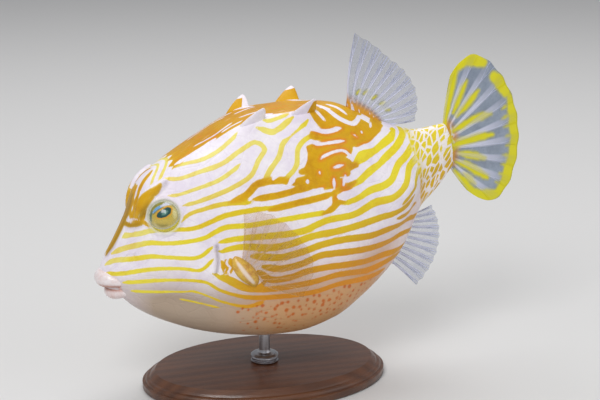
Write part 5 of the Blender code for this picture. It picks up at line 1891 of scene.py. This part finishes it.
@dataclass
class Fin:
    """A fin: its thin web with a fleshy foot, and its branching rays."""

    fan: Fan
    placement: Placement
    web_finish: FinFinish
    ray_finish: FinFinish
    slot: Slot = Slot.FIN
    marks: tuple = ()
    columns_per_ray: int = 12
    rows: int = 56
    web_half: float = 0.13
    edge_half: float = 0.05
    seed: int = 3

    def mark_distance(self, points: np.ndarray) -> np.ndarray:
        """How far points of the straight fish lie from the nearest yellow mark.

        Args:
            points: The points.

        Returns:
            The distances, negative inside a mark.
        """
        best = np.full(len(points), 3.0)
        for half, places in self.marks:
            knots = smooth_path(np.array(places, float) / 100, 0.04)
            path = self.fan.place(np.clip(knots[:, 0], 0, 1), knots[:, 1])
            best = np.minimum(best, path_distance(points, path, half, 0.45, 3.0))
        return best

    def web(self) -> Surface:
        """The web: a closed sheet that thins towards its margin, with its places and marks.

        Returns:
            The web's surface.
        """
        count = (self.fan.rays - 1) * self.columns_per_ray + 1
        v, w = np.meshgrid(np.linspace(0, 1, count), np.linspace(0, 1, self.rows), indexing="ij")
        crest = 0.5 + 0.5 * np.cos(2 * math.pi * v * (self.fan.rays - 1))
        fleshy = np.clip(1 - w / self.fan.flesh_share, 0, 1)
        half = self.web_half + (self.edge_half - self.web_half) * w + 0.1 * crest * (1 - w)
        half = half + self.fan.flesh * fleshy ** 2 * (3 - 2 * fleshy)
        ripple = 0.16 * np.sin(2 * math.pi * v * (self.fan.rays - 1)) * smooth_step(w, 0.25, 1.0)
        near, far = self.fan.sheet(v, w, ripple - half), self.fan.sheet(v, w, ripple + half)
        flat = self.fan.place(v, w).reshape(-1, 3)
        rows, columns = v.shape
        faces = grid_faces(rows, columns, False)
        size = rows * columns
        faces = [*faces, *(tuple(n + size for n in reversed(face)) for face in faces)]
        loop = [*((r, 0) for r in range(rows)), *((rows - 1, c) for c in range(1, columns)),
                *((r, columns - 1) for r in range(rows - 2, -1, -1)), *((0, c) for c in range(columns - 2, 0, -1))]
        rim = [r * columns + c for r, c in loop]
        for start, end in zip(rim, rim[1:] + rim[:1]):
            faces.append((end, start, start + size, end + size))
        points = np.vstack([near.reshape(-1, 3), far.reshape(-1, 3)])
        lie = np.stack([v, w, 0 * v], -1).reshape(-1, 3)
        mark = self.mark_distance(flat)
        return Surface(self.placement.carry(points), faces,
                       {"lie": np.vstack([lie, lie]), "mark": np.concatenate([mark, mark])})

    def strands(self) -> bpy.types.Object:
        """The rays' middle lines as loose edges with their girth: each stem splits in two, and then in four.

        Returns:
            The object that the rays are swept from.
        """
        chance = np.random.default_rng(self.seed)
        gap = 1 / (self.fan.rays - 1)
        first, second = self.fan.branch_places
        lines = []
        for n in range(self.fan.rays):
            v = n * gap
            leading = n == 0 and self.fan.front_ray > 1
            thick = self.fan.stem_radius * (self.fan.front_ray if leading else 1)
            split = first + chance.uniform(-0.04, 0.04)
            again = second + chance.uniform(-0.04, 0.04)
            lines.append(((v, 0.04), (v, split), thick, thick * 0.72))
            for half in (-0.5, 0.5):
                fork = v + half * gap * 0.3
                lines.append(((v, split - 0.02), (fork, again), thick * 0.6, thick * 0.42))
                for quarter in (-0.5, 0.5):
                    tip = fork + quarter * gap * 0.3 + chance.uniform(-0.02, 0.02) * gap
                    lines.append(((fork, again - 0.02), (tip, 0.995), thick * 0.36, self.fan.tip_radius))
        points, girths, edges, places = [], [], [], []
        for (v0, w0), (v1, w1), r0, r1 in lines:
            t = np.linspace(0, 1, 12)
            v = np.clip(v0 + (v1 - v0) * smooth_step(t, 0, 1), 0.0, 1.0)
            w = w0 + (w1 - w0) * t
            start = len(points)
            points += self.fan.sheet(v, w, 0 * t).tolist()
            places += np.stack([v, w, 0 * t], -1).tolist()
            girths += (r0 + (r1 - r0) * t).tolist()
            edges += [(start + k, start + k + 1) for k in range(11)]
        mesh = bpy.data.meshes.new(f"{self.fan.node}_rays")
        mesh.from_pydata(self.placement.carry(np.array(points)).tolist(), edges, [])
        lie = np.array(places)
        mark = self.mark_distance(self.fan.place(lie[:, 0], lie[:, 1]))
        store(mesh, {"girth": np.array(girths) * MM, "mark": mark, "lie": lie})
        return in_scene(mesh.name, mesh)

    def dress(self) -> list[bpy.types.Object]:
        """Builds the web and the rays."""
        web = self.web().made(f"{self.fan.node}_sheet", self.web_finish.make())
        rays = grown(self.strands(), ray_tree(), Thickness=1.0, Sides=7, Finish=self.ray_finish.make())
        return [placed(web, self.slot, self.fan.node), placed(rays, self.slot)]


@dataclass
class Lobe:
    """The fleshy pad that carries a side fin, laid slantwise on the flank."""

    side: Side
    placement: Placement
    top: tuple[float, float] = (45.3, 1.2)
    bottom: tuple[float, float] = (50.7, -11.0)
    half_width: float = 3.4
    rise: float = 2.4
    rings: int = 60
    sides: int = 56

    def dress(self) -> list[bpy.types.Object]:
        """Builds the pad.

        Returns:
            Its one piece.
        """
        t = np.linspace(0, 1, self.rings)[:, None]
        turn = np.linspace(0, 2 * math.pi, self.sides, endpoint=False)[None]
        full = np.sin(math.pi * (0.012 + 0.976 * t)) ** 0.6
        a = self.top[0] + (self.bottom[0] - self.top[0]) * t + 0 * turn
        d = self.top[1] + (self.bottom[1] - self.top[1]) * t + 0 * turn
        middle = skin_reach(a[:, 0], d[:, 0])[:, None] - 0.3
        groove = 1 - 0.12 * np.exp(-((np.cos(turn) - 0.35) / 0.2) ** 2) * (np.sin(turn) > 0)
        rings = np.stack([a + self.half_width * full * np.cos(turn),
                          self.side.value * (middle + self.rise * full * np.sin(turn) * groove),
                          d + 0.3 * np.cos(turn)], -1)
        points, faces = capped_tube(rings)
        line = smooth_step(np.abs(np.cos(turn) + 0.25 - 0.15 * t), 0.34, 0.1) * between(t, 0.08, 0.2, 0.8, 0.94)
        surface = Surface(self.placement.carry(points), faces, {"line": tube_values(line)})
        name = f"side_fin_{self.side.name.lower()}_lobe"
        return [placed(surface.made(name, LobeFinish().make()), Slot.FIN)]


@dataclass
class Stand:
    """The display stand: an oval wooden base with a moulded edge, and a turned steel rod with a ribbed collar."""

    turns: int = 180
    rod_radius: float = 2.0
    collar_radius: float = 5.0
    collar_height: float = 3.0

    def base(self) -> bpy.types.Object:
        """The base, with a cove and a rounded top edge.

        Returns:
            The base's piece.
        """
        low, high = (np.array(corner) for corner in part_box("stand_base"))
        middle, half = (low + high) / 2, (high - low) / 2
        height = high[2] - low[2]
        profile = [(-0.0012, 0.0), (-0.0004, 0.0002), (0.0, 0.0007), (0.0, height * 0.42)]
        turn = np.linspace(0, math.pi / 2, 9)
        cove = [(-0.0022 + 0.0012 * math.cos(k), height * 0.46 + 0.0014 * math.sin(k)) for k in turn]
        profile += [(-0.0004, height * 0.45)] + cove
        crown = [(-0.0030 - 0.0016 * math.sin(k), height - 0.0014 * (1 - math.sin(k))) for k in turn]
        profile += [(-0.0026, height * 0.46 + 0.0015)] + crown
        angles = np.linspace(0, 2 * math.pi, self.turns, endpoint=False)
        rings = []
        for inset, lift in profile:
            rings.append(np.stack([middle[0] + (half[0] + inset) * np.cos(angles),
                                   middle[1] + (half[1] + inset) * np.sin(angles),
                                   np.full(self.turns, low[2] + lift)], -1))
        for share in (0.86, 0.7, 0.5, 0.3, 0.12):
            ring = rings[-1].copy()
            ring[:, :2] = middle[:2] + (rings[len(profile) - 1][:, :2] - middle[:2]) * share
            rings.append(ring)
        points, faces = capped_tube(np.array(rings))
        obj = Surface(points, faces).made("stand_base_turned", WoodFinish().make(), math.radians(40))
        return placed(obj, Slot.WOOD, "stand_base")

    def rod(self, finish: bpy.types.Material) -> bpy.types.Object:
        """The rod and its collar, turned round one upright axis.

        Args:
            finish: The steel's material.

        Returns:
            The rod's piece.
        """
        low, high = (np.array(corner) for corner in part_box("stand_rod"))
        middle, foot, top = (low + high) / 2, low[2], high[2]
        r, collar, rise = self.rod_radius * MM, self.collar_radius * MM, self.collar_height * MM
        profile = [(collar - 0.0003, 0.0), (collar, 0.0003), (collar, 0.0005), (collar - 0.0004, 0.0007),
                   (collar - 0.0004, rise - 0.0009), (collar, rise - 0.0007), (collar, rise - 0.0005),
                   (collar - 0.0005, rise - 0.0001), (collar - 0.001, rise), (r + 0.0009, rise + 0.0001),
                   (r + 0.0003, rise + 0.0004), (r, rise + 0.0011)]
        profile += [(r, lift) for lift in np.linspace(rise + 0.0015, top - foot - 0.0004, 12)]
        profile += [(r - 0.0003, top - foot), (0.0002, top - foot)]
        angles = np.linspace(0, 2 * math.pi, 96, endpoint=False)
        rings = [np.stack([middle[0] + out * np.cos(angles), middle[1] + out * np.sin(angles),
                           np.full(96, foot + lift)], -1) for out, lift in profile]
        points, faces = capped_tube(np.array(rings))
        obj = Surface(points, faces).made("stand_rod_turned", finish, math.radians(35))
        return placed(obj, Slot.STEEL, "stand_rod")

    def ribs(self, finish: bpy.types.Material) -> bpy.types.Object:
        """The collar's small upright ribs, set out by Geometry Nodes.

        Args:
            finish: The steel's material.

        Returns:
            The ribs' piece.
        """
        low, high = (np.array(corner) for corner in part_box("stand_rod"))
        obj = in_scene("stand_collar_ribs", bpy.data.meshes.new("stand_collar_ribs"))
        grown(obj, rib_tree(), Count=48, Radius=(self.collar_radius - 0.42) * MM, Height=0.0014,
              Width=0.0002, Finish=finish)
        middle = (low + high) / 2
        obj.data.transform(Matrix.Translation((middle[0], middle[1], low[2] + self.collar_height / 2 * MM)))
        return placed(obj, Slot.STEEL)

    def dress(self) -> list[bpy.types.Object]:
        """Builds the base, the rod and the ribs."""
        steel = SteelFinish().make()
        return [self.base(), self.rod(steel), self.ribs(steel)]


@dataclass
class Studio:
    """The pale floor, the soft lights and the photo's camera."""

    placement: Placement
    floor_size: float = 14.0
    floor_tone: tuple = srgb(214, 213, 212)
    world_tone: tuple = srgb(236, 238, 242)
    world_strength: float = 0.38

    def floor(self) -> bpy.types.Object:
        """A wide, matt, pale floor.

        Returns:
            The floor.
        """
        half = self.floor_size / 2
        corners = np.array([(-half, -half, 0), (half, -half, 0), (half, half, 0), (-half, half, 0)])
        paint = Paint("floor")
        paint.give(paint.shader.inputs["Roughness"], paint.mottle(30.0) * 0.1 + 0.75)
        paint.shader.inputs["Base Color"].default_value = self.floor_tone
        obj = Surface(corners, [(0, 1, 2, 3)]).made("studio_floor", paint.material)
        return obj

    def world(self) -> None:
        """An even, soft sky light."""
        world = bpy.data.worlds.new("studio")
        world.use_nodes = True
        back = world.node_tree.nodes["Background"]
        back.inputs["Color"].default_value = self.world_tone
        back.inputs["Strength"].default_value = self.world_strength
        bpy.context.scene.world = world

    def lamp(self, name: str, place: tuple, target: tuple, size: float, power: float) -> bpy.types.Object:
        """A square soft light that faces a point.

        Args:
            name: The light's name.
            place: Where it stands, in metres.
            target: The point that it faces.
            size: The length of its sides.
            power: Its power in watts.

        Returns:
            The light.
        """
        light = bpy.data.lights.new(name, "AREA")
        light.shape, light.size, light.energy = "SQUARE", size, power
        obj = in_scene(name, light)
        obj.location = place
        obj.rotation_euler = (Vector(target) - Vector(place)).to_track_quat("-Z", "Y").to_euler()
        return obj

    def camera(self) -> bpy.types.Object:
        """The camera that sees the fish as the photo does.

        Returns:
            The camera.
        """
        yaw, rise = CAMERA_YAW, CAMERA_RISE
        ahead = Vector((math.sin(yaw) * math.cos(rise), math.cos(yaw) * math.cos(rise), -math.sin(rise)))
        right = Vector((math.cos(yaw), -math.sin(yaw), 0.0))
        up = right.cross(ahead)
        away = CAMERA_LENS * FRAME_WIDTH_PX / PX_PER_MM / CAMERA_SENSOR * MM
        data = bpy.data.cameras.new("camera")
        data.lens, data.sensor_width, data.clip_start = CAMERA_LENS, CAMERA_SENSOR, 0.01
        obj = in_scene("camera", data)
        spot = Vector(self.placement.carry(np.array(CAMERA_AIM))) - ahead * away
        turn = Matrix((right, up, -ahead)).transposed().to_4x4()
        obj.matrix_world = Matrix.Translation(spot) @ turn
        bpy.context.scene.camera = obj
        return obj

    def dress(self) -> None:
        """Sets out the floor, the lights and the camera, and shows plain colours as they are."""
        bpy.context.scene.view_settings.view_transform = "Standard"
        self.floor()
        self.world()
        self.lamp("key_light", (-0.55, -0.75, 0.95), (0.0, 0.0, 0.06), 0.6, 8.6)
        self.lamp("fill_light", (0.9, -0.7, 0.45), (0.0, 0.0, 0.06), 0.8, 1.8)
        self.lamp("top_light", (0.1, 0.35, 1.0), (0.0, 0.0, 0.06), 0.7, 5.4)
        self.camera()


def fins(placement: Placement) -> list[object]:
    """The fins with their finishes, in the order they are built.

    Args:
        placement: How the fish lies in the model.

    Returns:
        The fins and the lobes.
    """
    milky = FinFinish("fin_web", srgb(126, 138, 168), srgb(100, 112, 146), clearness=0.84, marks=True)
    pale_ray = FinFinish("fin_rays", srgb(214, 216, 238), srgb(186, 192, 222), clearness=0.05, marks=True)
    tail_web = FinFinish("tail_web", srgb(142, 158, 180), srgb(110, 128, 152), clearness=0.4, marks=True)
    tail_ray = FinFinish("tail_rays", srgb(190, 198, 222), srgb(150, 162, 190), clearness=0.05, marks=True)
    tan_tone = srgb(226, 190, 128)
    brownish = FinFinish("side_fin_web", srgb(192, 140, 62), srgb(170, 118, 46), ray=tan_tone, rays=10,
                         ray_weight=0.25, clearness=0.86, foot_share=-1)
    side_ray = FinFinish("side_fin_rays", srgb(246, 220, 170), srgb(234, 204, 150), ray=tan_tone, rays=10,
                         ray_weight=0.0, clearness=0.9, foot_share=-1)
    made: list[object] = [
        Fin(DORSAL, placement, milky, pale_ray, marks=DORSAL_MARKS, seed=3),
        Fin(ANAL, placement, milky, pale_ray, seed=5),
        Fin(TAIL, placement, tail_web, tail_ray, Slot.TAIL, TAIL_MARKS, seed=9),
    ]
    for side, fan in SIDE.items():
        made += [Fin(fan, placement, brownish, side_ray, seed=11), Lobe(side, placement)]
    return made


def main() -> None:
    """Builds every sub-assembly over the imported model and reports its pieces."""
    logging.basicConfig(level=logging.INFO, format="%(name)s: %(message)s")
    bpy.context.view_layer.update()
    placement = Placement.found()
    subassemblies = [BoxfishSkin(placement), Eyes(placement), Mouth(placement), *fins(placement), Stand()]
    count = sum(len(assembly.dress()) for assembly in subassemblies)
    Studio(placement).dress()
    log.info("%d pieces", count)


if __name__ == "__main__":
    main()
